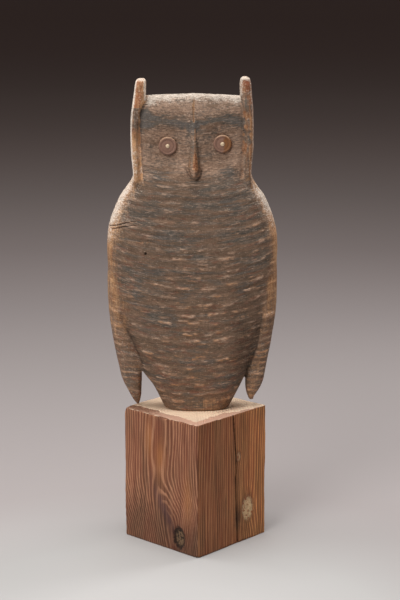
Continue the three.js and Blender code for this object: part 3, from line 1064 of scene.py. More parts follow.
def averaged(piece: bpy.types.Object, values: Array, rounds: int) -> Array:
    """Values at a piece's points, each evened out with its neighbours.

    Args:
        piece: The piece.
        values: One row for each point.
        rounds: How often each is averaged.

    Returns:
        The averaged values.
    """
    ends = np.empty(len(piece.data.edges) * 2, np.int64)
    piece.data.edges.foreach_get("vertices", ends)
    a, b = ends[0::2], ends[1::2]
    count = len(values)
    share = np.maximum(np.bincount(np.concatenate([a, b]), minlength=count), 1)
    columns = values.reshape(count, -1).copy()
    for _ in range(rounds):
        for k in range(columns.shape[1]):
            column = columns[:, k]
            total = np.bincount(a, column[b], count) + np.bincount(b, column[a], count)
            columns[:, k] = 0.5 * column + 0.5 * total / share
    return columns.reshape(values.shape)


def put_on(piece: bpy.types.Object, material: bpy.types.Material) -> None:
    """Gives a piece its finish, and lets it ride with the object.

    Args:
        piece: The piece.
        material: Its material.
    """
    piece.data.materials.clear()
    piece.data.materials.append(material)
    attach(piece, "root")


def settle(piece: bpy.types.Object) -> None:
    """Shades a finished piece smooth, and logs its name and how many triangles it has."""
    hold(piece)
    bpy.ops.object.shade_smooth()
    triangles = sum(len(face.vertices) - 2 for face in piece.data.polygons)
    log.info("%s: %d triangles", piece.name, triangles)


# The pieces


@dataclass(frozen=True)
class OwlDrawing:
    """What is drawn on the owl's front, as (x, z) in mm of the shared frame.

    Attributes:
        brow_low: The dark brow's lower edge.
        brow_high: Its upper edge.
        head_crack: The crack down the forehead.
        shoulder_cracks: The cracks across the left shoulder.
        scratch: A scratch below them.
        neck_line: A pale line across the neck.
        hole: A worm hole.
        beak_mouth: The undercut round the beak's end.
        beak_side: The pale edge at the beak's left.
        beak_crest: The middle of nose and beak.
        wing_lines: The grooves between wings and breast, from the wings' free tips up.
        outline: Height over the underside and half the width there, of body and shoulders.
        cool_places: Where thick cool paint is left: middle (x, z), half its width and half its height.
    """

    brow_low: Line = (
        (-76, 577), (-66, 581), (-59, 586.5), (-45, 588.5), (-27, 587.5), (-13, 583), (-3, 574), (4, 582),
        (12, 588.5), (20, 590.5), (33.5, 591), (47, 591), (57.5, 587), (64, 581), (70, 576),
    )
    brow_high: Line = (
        (-76, 612), (-65, 610), (-56, 603), (-47, 598.5), (-27, 598), (-13, 595), (-4, 591),
        (8, 594), (20, 598.5), (33, 601), (47, 601), (57, 598.5), (70, 592),
    )
    head_crack: Line = ((-2.2, 633), (-1.6, 618), (-2.2, 606), (-1.6, 592))
    shoulder_cracks: tuple[Line, ...] = (
        ((-117, 449), (-104, 452), (-93, 455.5), (-80, 457.5)),
        ((-114, 445.5), (-96, 450), (-74, 453)),
    )
    scratch: Line = ((-91, 428.5), (-72, 429.5), (-53, 428.8))
    neck_line: Line = ((-28, 508.5), (-4, 507), (20, 508.5))
    hole: tuple[float, float] = (-67.3, 413.8)
    beak_mouth: Line = (
        (-12.6, 533), (-11.9, 527), (-9.2, 521.2), (-4.8, 516), (0.5, 513.4), (5, 515.4), (7.9, 520),
        (9.2, 527),
    )
    beak_side: Line = ((-9.6, 527), (-5.6, 519.5))
    beak_crest: Line = ((0.2, 582), (0, 556), (0.8, 545), (2.4, 530), (2.6, 519))
    wing_lines: tuple[Line, Line] = (
        ((-71.3, 226), (-71.1, 243), (-77, 263), (-82.5, 277), (-88, 290.5), (-95.5, 306), (-101, 317),
         (-104, 333)),
        ((68, 226), (72, 243.7), (77.1, 255.5), (82.9, 272.8), (87.2, 290), (91.4, 320), (93, 345)),
    )
    outline: Line = (
        (0, 46), (60, 80), (100, 96), (150, 108), (200, 116), (235, 117), (262, 114), (285, 106),
        (301, 98), (314, 88), (326, 82), (350, 81), (440, 80),
    )
    cool_places: tuple[tuple[float, float, float, float], ...] = (
        (50, 484, 22, 17), (-60, 391, 33, 12), (-16, 353, 15, 8), (64, 366, 14, 18), (-79, 357, 8, 34),
        (-31, 325, 12, 17), (-44, 436, 26, 13), (-48, 522, 17, 12), (44, 524, 19, 12), (20, 262, 22, 9),
        (88, 226, 12, 16), (-2, 208, 26, 9), (-93, 236, 14, 40),
    )


@dataclass
class Skin:
    """The owl's surface before the strokes are cut: where its points are and what they belong to; mm.

    Attributes:
        points: One point to a row.
        normals: Their outward directions.
        jut: How far each stands out from the rounded form.
        drawing: What is drawn on the front.
        axis: The owl's middle along X.
        foot: Height of its underside.
    """

    points: Array
    normals: Array
    jut: Array
    drawing: OwlDrawing
    axis: float
    foot: float

    def __post_init__(self) -> None:
        """Works out each point's share, 0 to 1, in the owl's parts, and its distances from what is drawn."""
        x, y, z = self.x, self.y, self.z = self.points.T
        self.across, self.up = x - self.axis, z - self.foot
        self.reach, self.left = np.abs(self.across), self.across < 0
        facing = self.normals[:, 1]
        self.front, self.back = ease(-facing, 0.25, 0.7), ease(facing, 0.25, 0.7)
        self.side = 1.0 - ease(np.abs(facing), 0.35, 0.85)
        self.ahead = y < FRONT
        self.convex = ease(self.jut, 0.12, 0.8)
        self.head = ease(z, 500.0, 520.0)
        self.body = 1.0 - self.head

        inner = [np.interp(z, *np.abs(np.array(line, float)).T[::-1]) for line in self.drawing.wing_lines]
        outside = np.where(x < 0, -x - inner[0], x - inner[1])
        self.wing = ease(outside, 0.0, 2.5) * (1.0 - ease(z, 290.0, 350.0))
        groove = np.minimum(*(near_line(x, z, line) for line in self.drawing.wing_lines))
        self.groove = groove + 10.0 * ease(z, 300.0, 345.0)
        split = self.from_line(self.drawing.head_crack)
        self.split = np.where(z < 600, split * 1.6, split)
        for line in self.drawing.shoulder_cracks:
            self.split = np.minimum(self.split, self.from_line(line) * (1.0 + 1.4 * ease(x, -100.0, -76.0)))
        hole_x, hole_z = self.drawing.hole
        self.bore = np.where(self.ahead, np.hypot(x - hole_x, z - hole_z), np.inf)
        self.scratch = self.from_line(self.drawing.scratch)
        self.mouth = self.from_line(self.drawing.beak_mouth) + 1.2 * ease(z, 523.0, 535.0)

    def rough(self, size: Union[float, Sequence[float]], seed: int) -> Array:
        """Smooth uneven rise and fall over the skin, -1 to 1."""
        return swell(self.points, size, seed)

    def either(self, left: Any, right: Any) -> Array:
        """One value on the left half and another on the right."""
        return np.where(self.left, left, right)

    def from_line(self, line: Line) -> Array:
        """Distance from a line that is drawn on the front, endless elsewhere."""
        return np.where(self.ahead, near_line(self.x, self.z, line), np.inf)

    def spot(self, at: tuple[float, float], wide: float, tall: float) -> Array:
        """A soft patch on a face round (x, z): 1 in its middle."""
        return bell(self.x - at[0], wide) * bell(self.z - at[1], tall)

    def rim(self, depth: float) -> Array:
        """How near the outline of body and shoulders points are: 1 at it, 0 from a depth inwards."""
        half = np.interp(self.up, *np.array(self.drawing.outline, float).T)
        return ease(self.reach, half - 3.0 - depth, half - 3.0)


@dataclass
class OwlWear:
    """What use and weather left on the owl, and the light and shade painted on it, as a share for each point
    and each kind.

    Attributes:
        skin: The owl's surface.
        crest: How much of a stroke's crest each point is.
        ends: How much of it is open end grain.
        rows: Its place counted in rows of strokes.
    """

    skin: Skin
    crest: Array
    ends: Array
    rows: Array

    def __post_init__(self) -> None:
        """Works out the parts of face, ears and beak that several kinds of wear follow."""
        s = self.skin
        self.soft = s.rough((15.0, 9.0, 6.0), 31) * 2.6 + s.rough((7.0, 5.0, 2.2), 32) * 3.0
        self.high = s.z + self.soft
        self.inner = 1.0 - ease(s.reach, 69.0, 73.0)
        self.face_front = s.front * s.head * self.inner
        brow = (s.drawing.brow_low, s.drawing.brow_high)
        self.low, top = (np.interp(s.x, *np.array(line).T) for line in brow)
        brow = ease(s.z + self.soft * 0.6, self.low - 4.0, self.low + 4.0)
        self.brow = brow * (1.0 - ease(self.high, top - 7.0, top + 6.0))
        self.forehead = s.front * self.inner * ease(self.high, top - 3.0, top + 6.0)

        sideways = np.sign(s.across) * s.normals[:, 0]
        self.outward, self.inward = ease(sideways, 0.5, 0.9), ease(-sideways, 0.3, 0.7)
        heights = (505.0, 520.0, 560.0, 604.0, 618.0)
        left_edge = np.interp(s.z, heights, (63.0, 65.0, 67.5, 69.0, 60.5))
        self.edge = s.either(left_edge, np.interp(s.z, heights, (62.5, 64.5, 66.0, 66.5, 62.5)))
        self.ear = s.head * ease(s.reach + self.soft * 0.3, self.edge, self.edge + 2.5)
        self.left_ear, self.right_ear = self.ear * s.left, self.ear * ~s.left
        self.horn = s.either(ease(self.high, 608.0, 615.0), ease(s.z + self.soft * 0.5, 630.0, 634.0))
        self.ridge = self.ear * (1.0 - self.horn)
        self.seam = self.ridge * bell(s.reach - 70.2, 2.2) * (s.z > 545) * s.left
        wide = 1.2 + 3.4 * ease(-s.z, -562.0, -538.0)
        beak = s.front * bell(near_line(s.x, s.z, s.drawing.beak_crest), wide) * ease(s.z, 511.0, 515.0)
        beak = beak * (0.45 + 0.55 * ease(s.z, 524.0, 531.0))
        self.beak = beak * (0.95 - 0.35 * ease(s.z, 545.0, 556.0))
        self.rim = s.either(0.38 * s.rim(30.0), 0.8 * s.rim(15.0)) + 0.35 * s.rim(9.0)

    def write(self, piece: bpy.types.Object) -> None:
        """Notes every kind of wear on the piece, and the painted light and shade, for its paint to read."""
        kinds = (
            ("crest", self.crest + self._lips(), 0.0, 1.2), ("bare", self._bare(), 0.0, 1.0),
            ("ends", self.ends + self._bleach_and_rim_light(), 0.0, 1.0), ("band", self._band(), 0.0, 1.0),
            ("face", self._mottled(), 0.0, 1.0), ("tone_and_painted_light", self._tone_and_painted_light(), -1.3, 1.0),
            ("ruddy", self._ruddy(), -1.0, 1.0), ("crack", self._cracks_and_painted_shade(), 0.0, 1.0),
        )
        for name, share, least, most in kinds:
            note(piece, name, np.clip(share, least, most))

    def _lips(self) -> Array:
        """Crests beside the shoulder's cracks, across the neck and along the beak's left."""
        s = self.skin
        broken = ease(s.rough((9.0, 9.0, 60.0), 39), -0.3, 0.3)
        neck = bell(near_line(s.x, s.z + self.soft * 0.3, s.drawing.neck_line), 1.1) * broken
        beak = bell(near_line(s.x, s.z, s.drawing.beak_side), 1.0)
        return 0.55 * bell(np.abs(s.split - 2.0), 0.9) * (s.z < 500.0) + (0.6 * neck + 0.7 * beak) * s.front

    def _band(self) -> Array:
        """The fresh dark paint of the brow, and the thick cool places."""
        s = self.skin
        streaks = 0.75 + 0.45 * s.rough((16.0, 16.0, 2.2), 33)
        band = np.clip(self.face_front * self.brow * streaks, 0.0, 1.0)
        drift = s.rough((16.0, 16.0, 6.0), 54) * 7.0 + s.rough((6.0, 6.0, 2.5), 55) * 4.0
        for x, z, wide, tall in s.drawing.cool_places:
            place = bell(s.x + drift - x, wide) * bell(s.z + drift * 0.6 - z, tall)
            band = np.maximum(band, 0.62 * place * s.front * (1.0 - self.ear))
        return band

    def _mottled(self) -> Array:
        """The face's thin mottled paint, below the brow."""
        s = self.skin
        face = self.face_front * (1.0 - self.brow) * (0.62 + 0.3 * s.rough((22.0, 22.0, 16.0), 34))
        return face * (1.0 - 0.3 * ease(-s.z, -535.0, -510.0))

    def _bare(self) -> Array:
        """Where the paint is worn through to the wood."""
        s = self.skin
        height = s.either(ease(s.up, 40.0, 165.0), 0.8 * ease(s.up, 70.0, 205.0)) * s.body
        height = height * (1.0 + 0.4 * s.rough((7.0, 12.0, 30.0), 37))
        yoke = ease(s.up, 222.0, 262.0) * (1.0 - ease(s.up, 300.0, 318.0)) * ease(s.rim(30.0), 0.1, 0.8)
        spotty = 0.5 + 0.8 * s.rough((5.0, 9.0, 5.0), 48) + 0.55 * s.rough((2.6, 9.0, 9.0), 49)
        left_ridge = 1.15 - 0.75 * ease(self.high, 566.0, 588.0)
        places = (
            0.3 * s.convex * (1.0 - 0.8 * s.head * self.inner) + 0.3 * s.side * ease(s.up, 90.0, 190.0),
            0.9 * self.ear * self.horn,
            0.85 * self.ridge * s.either(left_ridge, spotty + 0.6 * ease(s.reach, 75.0, 79.0)),
            0.95 * self.beak,
            0.8 * self.seam,
            0.85 * self.rim * height + s.either(0.24, 0.14) * yoke,
            self.forehead * (0.02 + 0.25 * s.rough((24.0, 24.0, 9.0), 38)),
            0.4 * s.spot((26.0, 202.0), 27.0, 19.0) * s.front,
            0.3 * s.spot((17.0, 240.0), 1.3, 50.0) * s.front,
            s.wing * s.front * s.either(0.1, 0.22),
            0.75 * bell(s.split, 1.9) * (s.z > 586.0) * s.front,
        )
        return np.maximum.reduce(places) + 0.5 * bell(s.scratch, 0.9)

    def _bleach_and_rim_light(self) -> Array:
        """Where wood and paint are pale from bleaching or rubbing, with painted light on the ears' outer
        rims, stronger on the left, and a painted highlight along the left ridge's inner edge.
        """
        s = self.skin
        cap = ease(s.z + self.soft * 0.4, 644.5, 648.5) * 0.8
        cap = cap + ease(s.z, 622.0, 628.0) * (1.0 - ease(s.reach, 66.8, 69.2)) * 0.55
        streak = 0.55 * bell(s.z - 631.5, 3.0) * ease(s.rough((7.0, 7.0, 1.7), 50), -0.2, 0.4)
        strip = 0.95 * ease(s.z, 616.0, 622.0) * (1.0 - ease(s.reach, 63.3, 65.6))
        light = 0.3 + 0.4 * s.rough((3.0, 9.0, 5.0), 53)
        places = (
            # Painted light on the ears' outward faces, stronger on the left; the upward faces are end grain
            self.ear * np.maximum(self.outward * s.either(1.0, 0.5), 0.8 * ease(s.normals[:, 2], 0.3, 0.8)),
            self.ridge * s.either(0.25 * ease(s.z, 560.0, 588.0), 0.1),
            self.ear * (s.y < 8.0) * s.either(strip, cap + streak),
            self.ridge * s.left * (1.0 - ease(self.high, 560.0, 580.0)) * light,
            # A painted highlight along the left ridge's inner edge
            0.35 * self.ridge * s.left * bell(s.reach - 72.6, 0.8) * ease(s.z, 560.0, 575.0),
            self.forehead * (0.1 + 0.3 * s.rough((20.0, 20.0, 7.0), 35)),
            s.wing * s.front * s.either(0.1, 0.06),
        )
        return np.maximum.reduce(places)

    def _ruddy(self) -> Array:
        """Where the bare wood is redder than elsewhere, or below 0 where it is more golden."""
        s = self.skin
        red = s.either(0.36, 0.14 + 0.4 * ease(s.z, 598.0, 612.0) + 0.34 * self.horn)
        ruddy = self.ear * red * (0.9 + 0.6 * s.rough((8.0, 8.0, 12.0), 43)) + self.beak * 0.42
        golden = 0.7 * (1.0 - ease(self.high, 560.0, 584.0)) + 0.6 * self.inward
        paler = golden * self.left_ear + 0.1 * self.rim * s.body
        return ruddy * (1.0 - ease(s.normals[:, 2], 0.3, 0.8)) - paler

    def _cracks_and_painted_shade(self) -> Array:
        """Dark in the cracks and the worm hole, and painted shade along the ridges' seams, under the brow,
        round the beak's end and in the wing grooves.
        """
        s = self.skin
        # Painted shade along the ridges' seams, under the brow's lower edge, round the beak's end and in the
        # wing grooves
        seams = 0.35 * s.front * s.head * (1.0 - self.horn) * bell(s.reach - self.edge - 0.6, 0.9)
        seams = seams + 0.12 * self.face_front * bell(s.z + self.soft * 0.5 - self.low, 1.5)
        seams = seams + 0.55 * bell(s.mouth, 1.3) + 0.45 * s.front * bell(s.groove, 1.3)
        hole = 0.85 * (1.0 - ease(s.bore, 1.2, 2.6))
        return np.where(s.z > 590, 0.42, 0.85) * bell(s.split, 0.75) + hole + seams

    def _tone_and_painted_light(self) -> Array:
        """Darker, or lighter below 0: painted shade beside the right wing, in the hollows between rows, in
        the wing grooves and on the right of breast and face; painted light on the left ridge, the left ear's
        outward faces, brow and cheeks more on the left, and under the beak's end; and darker streaks and
        lighter patches on ears, shoulders, cheeks and wings.
        """
        s = self.skin
        # Painted shade: beside the right wing where the body turns away, in the hollows between the rows of
        # strokes, along the wing grooves, and on the right of breast and face
        beside = ease(s.x, 40.0, 66.0) * (1.0 - ease(s.x, 92.0, 96.0)) * bell(s.z - 280.0, 52.0)
        painted_hollow_shade = -np.cos(self.rows * math.tau) * (0.6 + 0.6 * s.rough((30.0, 30.0, 20.0), 47))
        breast = 0.3 * painted_hollow_shade + 0.06 * bell(s.x + 55.0, 30.0) + 0.2 * s.spot((62.0, 375.0), 26.0, 60.0)
        breast = breast + 0.6 * bell(s.groove, 7.0)
        stripes = ease(s.rough((10.0, 10.0, 2.6), 44), 0.0, 0.6) + 0.5 * ease(s.rough(3.4, 45), 0.1, 0.6)
        dark = 0.85 * s.front * (1.0 - s.wing) * beside + s.front * s.body * breast
        dark = dark + 0.22 * self.forehead + 0.22 * self.face_front * ease(s.x, 8.0, 34.0)
        dark = dark + self.ear * s.front * stripes * s.either(0.25, 0.6)
        dark = dark + 0.8 * s.spot((-74.5, 635.5), 3.4, 5.0) + 0.5 * self.right_ear * bell(s.z - 626.5, 1.3)

        # Painted light, subtracted at the end: along the left ridge's seam and lower part where the ledge is
        # in shade, on the left ear's outward faces, on brow and cheeks more on the left, and under the beak's
        # end; the shoulders' rims, the rest of the ears and the wings are lightened too
        cheeks = bell(s.z - 522.0, 22.0) * (1.0 - self.brow) * self.face_front
        streaky = 0.8 + 0.5 * s.rough(5.0, 51) + 0.8 * s.rough((2.6, 9.0, 4.0), 52)
        light = 0.75 * ease(s.rim(22.0), 0.2, 0.9) * ease(s.up, 215.0, 262.0) * s.body
        light = light + 0.9 * self.seam + self.face_front * self.brow * s.either(0.14, 0.04)
        light = light + 1.1 * self.left_ear * (1.0 - ease(self.high, 568.0, 592.0)) * streaky
        light = light + self.left_ear * (0.95 * self.horn + 0.5 * self.outward)
        light = light + self.right_ear * (0.3 + 0.2 * ease(s.z, 588.0, 600.0))
        light = light + cheeks * (0.34 + 0.16 * ease(-s.x, -30.0, 30.0))
        light = light + s.wing * s.front * s.either(0.38, 0.26)
        return dark - light - 0.45 * s.spot((-1.0, 520.0), 7.0, 6.0) * (s.y < -20.0)


@dataclass
class OwlCarving:
    """The owl, cut from one plank: body, head, wings, ears and beak in one piece.

    Attributes:
        foot: Height of the owl's underside, mm.
        axis: The owl's middle along X, mm.
        voxel: Size of the even mesh that the strokes are cut in, mm.
        kept: Share of the faces that are left once the back is made coarser.
        rise: How far the rows of strokes climb 100 mm from the middle, mm.
        strokes: The gouge rows of the breast.
        ticks: Smaller strokes between them.
        bar: From one bar to the next on a wing, mm.
        depth: How deep the strokes are, mm.
        fine: The small strokes of the face.
        fine_depth: How deep those are, mm.
        eye_at: The eyes' places (x, y of the seat, z), mm.
        drawing: What is drawn on the front.
    """

    foot: float = 190.8
    axis: float = -4.0
    voxel: float = 1.5
    kept: float = 0.6
    rise: float = 15.0
    strokes: GougeWork = GougeWork(12.6, 36.0, 1.9, 0.3, 0.7, 0.96, 11)
    ticks: GougeWork = GougeWork(6.3, 30.0, 1.2, 0.6, 0.5, 0.75, 71)
    bar: float = 8.4
    depth: float = 1.15
    fine: GougeWork = GougeWork(4.4, 9.5, 1.0, 0.7, 0.5, 0.7, 41)
    fine_depth: float = 0.5
    eye_at: tuple[tuple[float, float, float], ...] = ((-36.7, -24.0, 559.3), (36.9, -24.0, 562.0))
    drawing: OwlDrawing = OwlDrawing()

    def build(self) -> bpy.types.Object:
        """Cuts the owl.

        Returns:
            The finished piece, which stands for the solid one.
        """
        piece = bpy.data.objects.new("owl_carving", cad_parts["owl"].data.copy())
        bpy.context.scene.collection.objects.link(piece)
        self._close_bores(piece)
        shape_with(piece, "REMESH", mode="VOXEL", voxel_size=self.voxel * MM, adaptivity=0.0)
        self._even_out(piece)
        self._coarsen_back(piece)
        self._refine(piece)
        self._carve(piece)
        settle(piece)
        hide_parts("owl")
        return piece

    def dress(self, piece: bpy.types.Object, finish: WornPaint) -> None:
        """Paints the owl.

        Args:
            piece: The cut owl.
            finish: Its paint.
        """
        put_on(piece, finish.make())

    def _close_bores(self, piece: bpy.types.Object) -> None:
        """Joins the copied mesh and fills the nails' holes, which the eyes cover."""
        edit(piece)
        bpy.ops.mesh.remove_doubles(threshold=JOINED)
        close_edit()
        px, py, pz = points_of(piece).T / MM
        inside = np.zeros(len(px), bool)
        for x, y, z in self.eye_at:
            inside |= (np.hypot(px - x, pz - z) < 2.5) & (py > y - 1.0)
        edit(piece, inside)
        bpy.ops.mesh.delete(type="VERT")
        bpy.ops.mesh.select_all(action="SELECT")
        bpy.ops.mesh.fill_holes(sides=0)
        bpy.ops.mesh.normals_make_consistent(inside=False)
        close_edit()

    def _even_out(self, piece: bpy.types.Object) -> None:
        """Smooths away the solid's facets: a little everywhere, more on broad flat places."""
        x, y, z = points_of(piece).T / MM
        reach, up = np.abs(x - self.axis), z - self.foot
        flat = ease(np.abs(averaged(piece, normals_of(piece), 4)[:, 1]), 0.7, 0.95)
        head, outer = ease(up, 305.0, 330.0), ease(reach, 58.0, 66.0)
        ears, face = head * outer, head * (1.0 - outer) * (y < 0)
        beside = bell(reach - 74.0 - (up - 60.0) * 0.17, 9.0) * (1.0 - ease(up, 200.0, 260.0))
        weight = flat * (1.0 - 0.85 * ears - 0.75 * face) * (1.0 - 0.85 * beside)
        for share, rounds in ((np.full(len(x), 0.6), 4), (np.clip(weight, 0.0, 1.0), 34)):
            self._mark(piece, share)
            shape_with(piece, "SMOOTH", factor=0.5, iterations=rounds, vertex_group=MARK)
            piece.vertex_groups.clear()

    def _mark(self, piece: bpy.types.Object, weight: Array) -> None:
        """Makes the group of points for one step of the work, with a weight for each, 0 to 1."""
        group = piece.vertex_groups.new(name=MARK)
        steps = np.round(weight * 20).astype(int)
        for step in np.unique(steps):
            group.add(np.nonzero(steps == step)[0].tolist(), step / 20, "REPLACE")

    def _coarsen_back(self, piece: bpy.types.Object) -> None:
        """Leaves fewer faces on the plain back, so that the front can have more."""
        self._mark(piece, ease(normals_of(piece)[:, 1], 0.1, 0.5))
        shape_with(piece, "DECIMATE", ratio=self.kept, vertex_group=MARK, vertex_group_factor=1000.0)
        piece.vertex_groups.clear()

    def _refine(self, piece: bpy.types.Object) -> None:
        """Divides the mesh once more on the face, along the cracks and round the worm hole."""
        mesh = piece.data
        centre = np.empty(len(mesh.polygons) * 3)
        mesh.polygons.foreach_get("center", centre)
        x, y, z = centre.reshape(-1, 3).T / MM
        hole_x, hole_z = self.drawing.hole
        picked = (np.abs(x - self.axis) < 60.0) & (z > 510.0) & (z < 598.0)
        picked |= (x > -120.0) & (x < -72.0) & (np.abs(z - 452.0) < 8.0)
        picked |= (np.abs(x - self.axis - 2.0) < 4.0) & (z > 590.0)
        picked |= np.hypot(x - hole_x, z - hole_z) < 5.0
        edit(piece, picked & (y < -14.0), faces=True)
        bpy.ops.mesh.subdivide(number_cuts=1, smoothness=0.0)
        close_edit()

    def _carve(self, piece: bpy.types.Object) -> None:
        """Cuts strokes, cracks and tool marks, and notes the wear for the paint."""
        points, normals = points_of(piece) / MM, normals_of(piece)
        jut = np.einsum("ij,ij->i", points - averaged(piece, points, 14), normals)
        skin = Skin(points, normals, jut, self.drawing, self.axis, self.foot)
        strokes, crest, rows = self._cut_strokes(skin)
        pits, ends = self._open_end_grain(skin)
        lift = strokes + pits + self._tool_marks(skin) + self._cut_lines(skin)

        x, z = skin.x, skin.z
        under_beak = 1.0 - ease(np.hypot((x + 1.2) / 9.9, (z - 528.5) / 14.2), 0.72, 0.98)
        moved = points + normals * lift[:, None]
        moved[:, 1] -= 2.4 * skin.ahead * under_beak * (1.0 - ease(z, 522.0, 534.0))
        # The wings' tips: the left one hangs lower, and the right one swells outwards
        moved[:, 2] -= 2.6 * (1.0 - ease(z, 199.0, 222.0)) * ease(-x, 50.0, 66.0)
        moved[:, 0] += 2.2 * bell(z - 216.0, 16.0) * ease(x, 70.0, 84.0)
        low, high = (np.array(corner) for corner in cad_box)
        set_points(piece, np.clip(moved * MM, low, high))
        OwlWear(skin, crest, ends, rows).write(piece)

    def _cut_strokes(self, skin: Skin) -> tuple[Array, Array, Array]:
        """Cuts the rows of strokes on breast, wings and face, and the flutes under them.

        Args:
            skin: The owl's surface.

        Returns:
            How far each point is raised, how much of a crest it is, and its place counted in rows.
        """
        warp = skin.rough((60.0, 60.0, 90.0), 5) * 3.4 + skin.rough((19.0, 60.0, 30.0), 6) * 0.9
        row = skin.up - self.rise * (skin.reach / 100.0) ** 2 * (1.0 - 0.8 * skin.wing) + warp
        ticks = 0.65 * self.ticks.crests(skin.across, row + 1.0)
        broken = skin.rough((7.0, 7.0, 3.0), 12) + 0.5 * skin.rough((17.0, 17.0, 5.0), 13)
        broken = ease(broken + 0.75 * skin.rough((3.4, 3.4, 2.2), 14), -0.65, 0.55)
        strokes = np.maximum(self.strokes.crests(skin.across, row), ticks) * (0.18 + broken)
        turn = np.mod(row / self.bar + 0.25 * skin.rough(15.0, 7), 1.0)
        bars = ease(turn, 0.35, 0.75) * (1.0 - ease(turn, 0.75, 0.95)) * (0.55 + 0.6 * skin.rough(12.0, 8))
        strokes = strokes * (1.0 - 0.6 * skin.wing) + skin.wing * np.clip(bars, 0.0, 1.0) * 0.8
        fine = self._face_strokes(skin, skin.up + warp * 0.5)

        strength = 0.65 + 0.95 * ease(330.0 - skin.up + skin.across * 0.8, 20.0, 250.0)
        strength = np.clip(strength * (1.0 + 0.5 * skin.rough((38.0, 38.0, 26.0), 9)), 0.3, 1.7)
        share = skin.front * skin.body * strength * ease(skin.up, 2.0, 8.0)
        on_face = skin.front * skin.head
        on_face = on_face * (1.0 - ease(skin.z, 600.0, 616.0)) * (1.0 - ease(skin.reach, 66.0, 72.0))
        rows = row / self.strokes.pitch
        flutes = 0.4 * (0.5 - 0.5 * np.cos(rows * math.pi))
        lift = share * (self.depth * (strokes - 0.3) - flutes) + self.fine_depth * on_face * (fine - 0.4)
        return lift, share * strokes + 0.55 * fine * on_face, rows

    def _face_strokes(self, skin: Skin, up: Array) -> Array:
        """The face's small strokes, which run round each eye and level elsewhere."""
        crests = self.fine.crests(skin.x, up)
        for x, _, z in self.eye_at:
            out = np.hypot(skin.x - x, skin.z - z)
            around = self.fine.crests(np.arctan2(skin.x - x, skin.z - z) * 23.0, out)
            crests = np.where(out < 33.0, around, crests)
        return crests

    def _tool_marks(self, skin: Skin) -> Array:
        """Drawknife facets down back and sides, an uneven skin, and chips along the edges, mm."""
        knife = 0.55 * skin.rough((15.0, 30.0, 120.0), 21) + 0.2 * skin.rough((30.0, 30.0, 9.0), 22)
        knife = knife * skin.back + skin.side * 0.35 * skin.rough((9.0, 11.0, 34.0), 23)
        chips = ease(skin.rough((7.0, 7.0, 9.0), 28), 0.42, 0.75) * skin.convex
        return knife + 0.22 * skin.rough(13.0, 24) + 0.1 * skin.rough(5.0, 25) - 0.55 * chips

    def _open_end_grain(self, skin: Skin) -> tuple[Array, Array]:
        """Opens and pits the end grain on the head's top and the shoulders.

        Args:
            skin: The owl's surface.

        Returns:
            How far each point is raised, and how much of it is end grain.
        """
        rising, ear_foot = skin.normals[:, 2], skin.either(58.0, 63.5)
        ragged = 3.0 * skin.rough(9.0, 10) + 8.0 * ease(skin.reach, 42.0, 66.0)
        crown = ease(skin.up + ragged, 421.0, 440.0) * (1.0 - ease(skin.reach, ear_foot, ear_foot + 4.0))
        crown = crown * (0.3 + 0.7 * ease(rising, 0.15, 0.6))
        ragged = 12.0 * skin.rough(14.0, 36) + 6.0 * skin.rough((5.0, 5.0, 9.0), 42)
        slope = ease(skin.up + ragged - 24.0 * ease(skin.across, 0.0, 40.0), 212.0, 272.0)
        slope = slope * (1.0 - ease(skin.up + ragged * 0.4, 306.0, 322.0))
        worn = 0.4 * skin.rim(34.0) + 0.46 * skin.rim(9.0)
        ends = np.clip(crown + slope * np.maximum(worn, 0.8 * ease(rising, 0.35, 0.8)), 0.0, 1.0)
        pits = 0.45 * ease(skin.rough((2.6, 2.6, 3.0), 26), 0.1, 0.7) + 0.3 * np.abs(skin.rough(6.0, 27))
        return -ends * pits, ends

    def _cut_lines(self, skin: Skin) -> Array:
        """Cracks, worm hole, scratch, wing grooves and the undercut round the beak's end, mm."""
        cut = 1.3 * bell(skin.split, 0.75) + 0.8 * bell(skin.mouth, 1.3)
        cut = cut + 2.6 * (1.0 - ease(skin.bore, 0.8, 2.1))
        return -cut - 0.35 * bell(skin.scratch, 0.9) - 1.2 * skin.front * bell(skin.groove, 2.6)


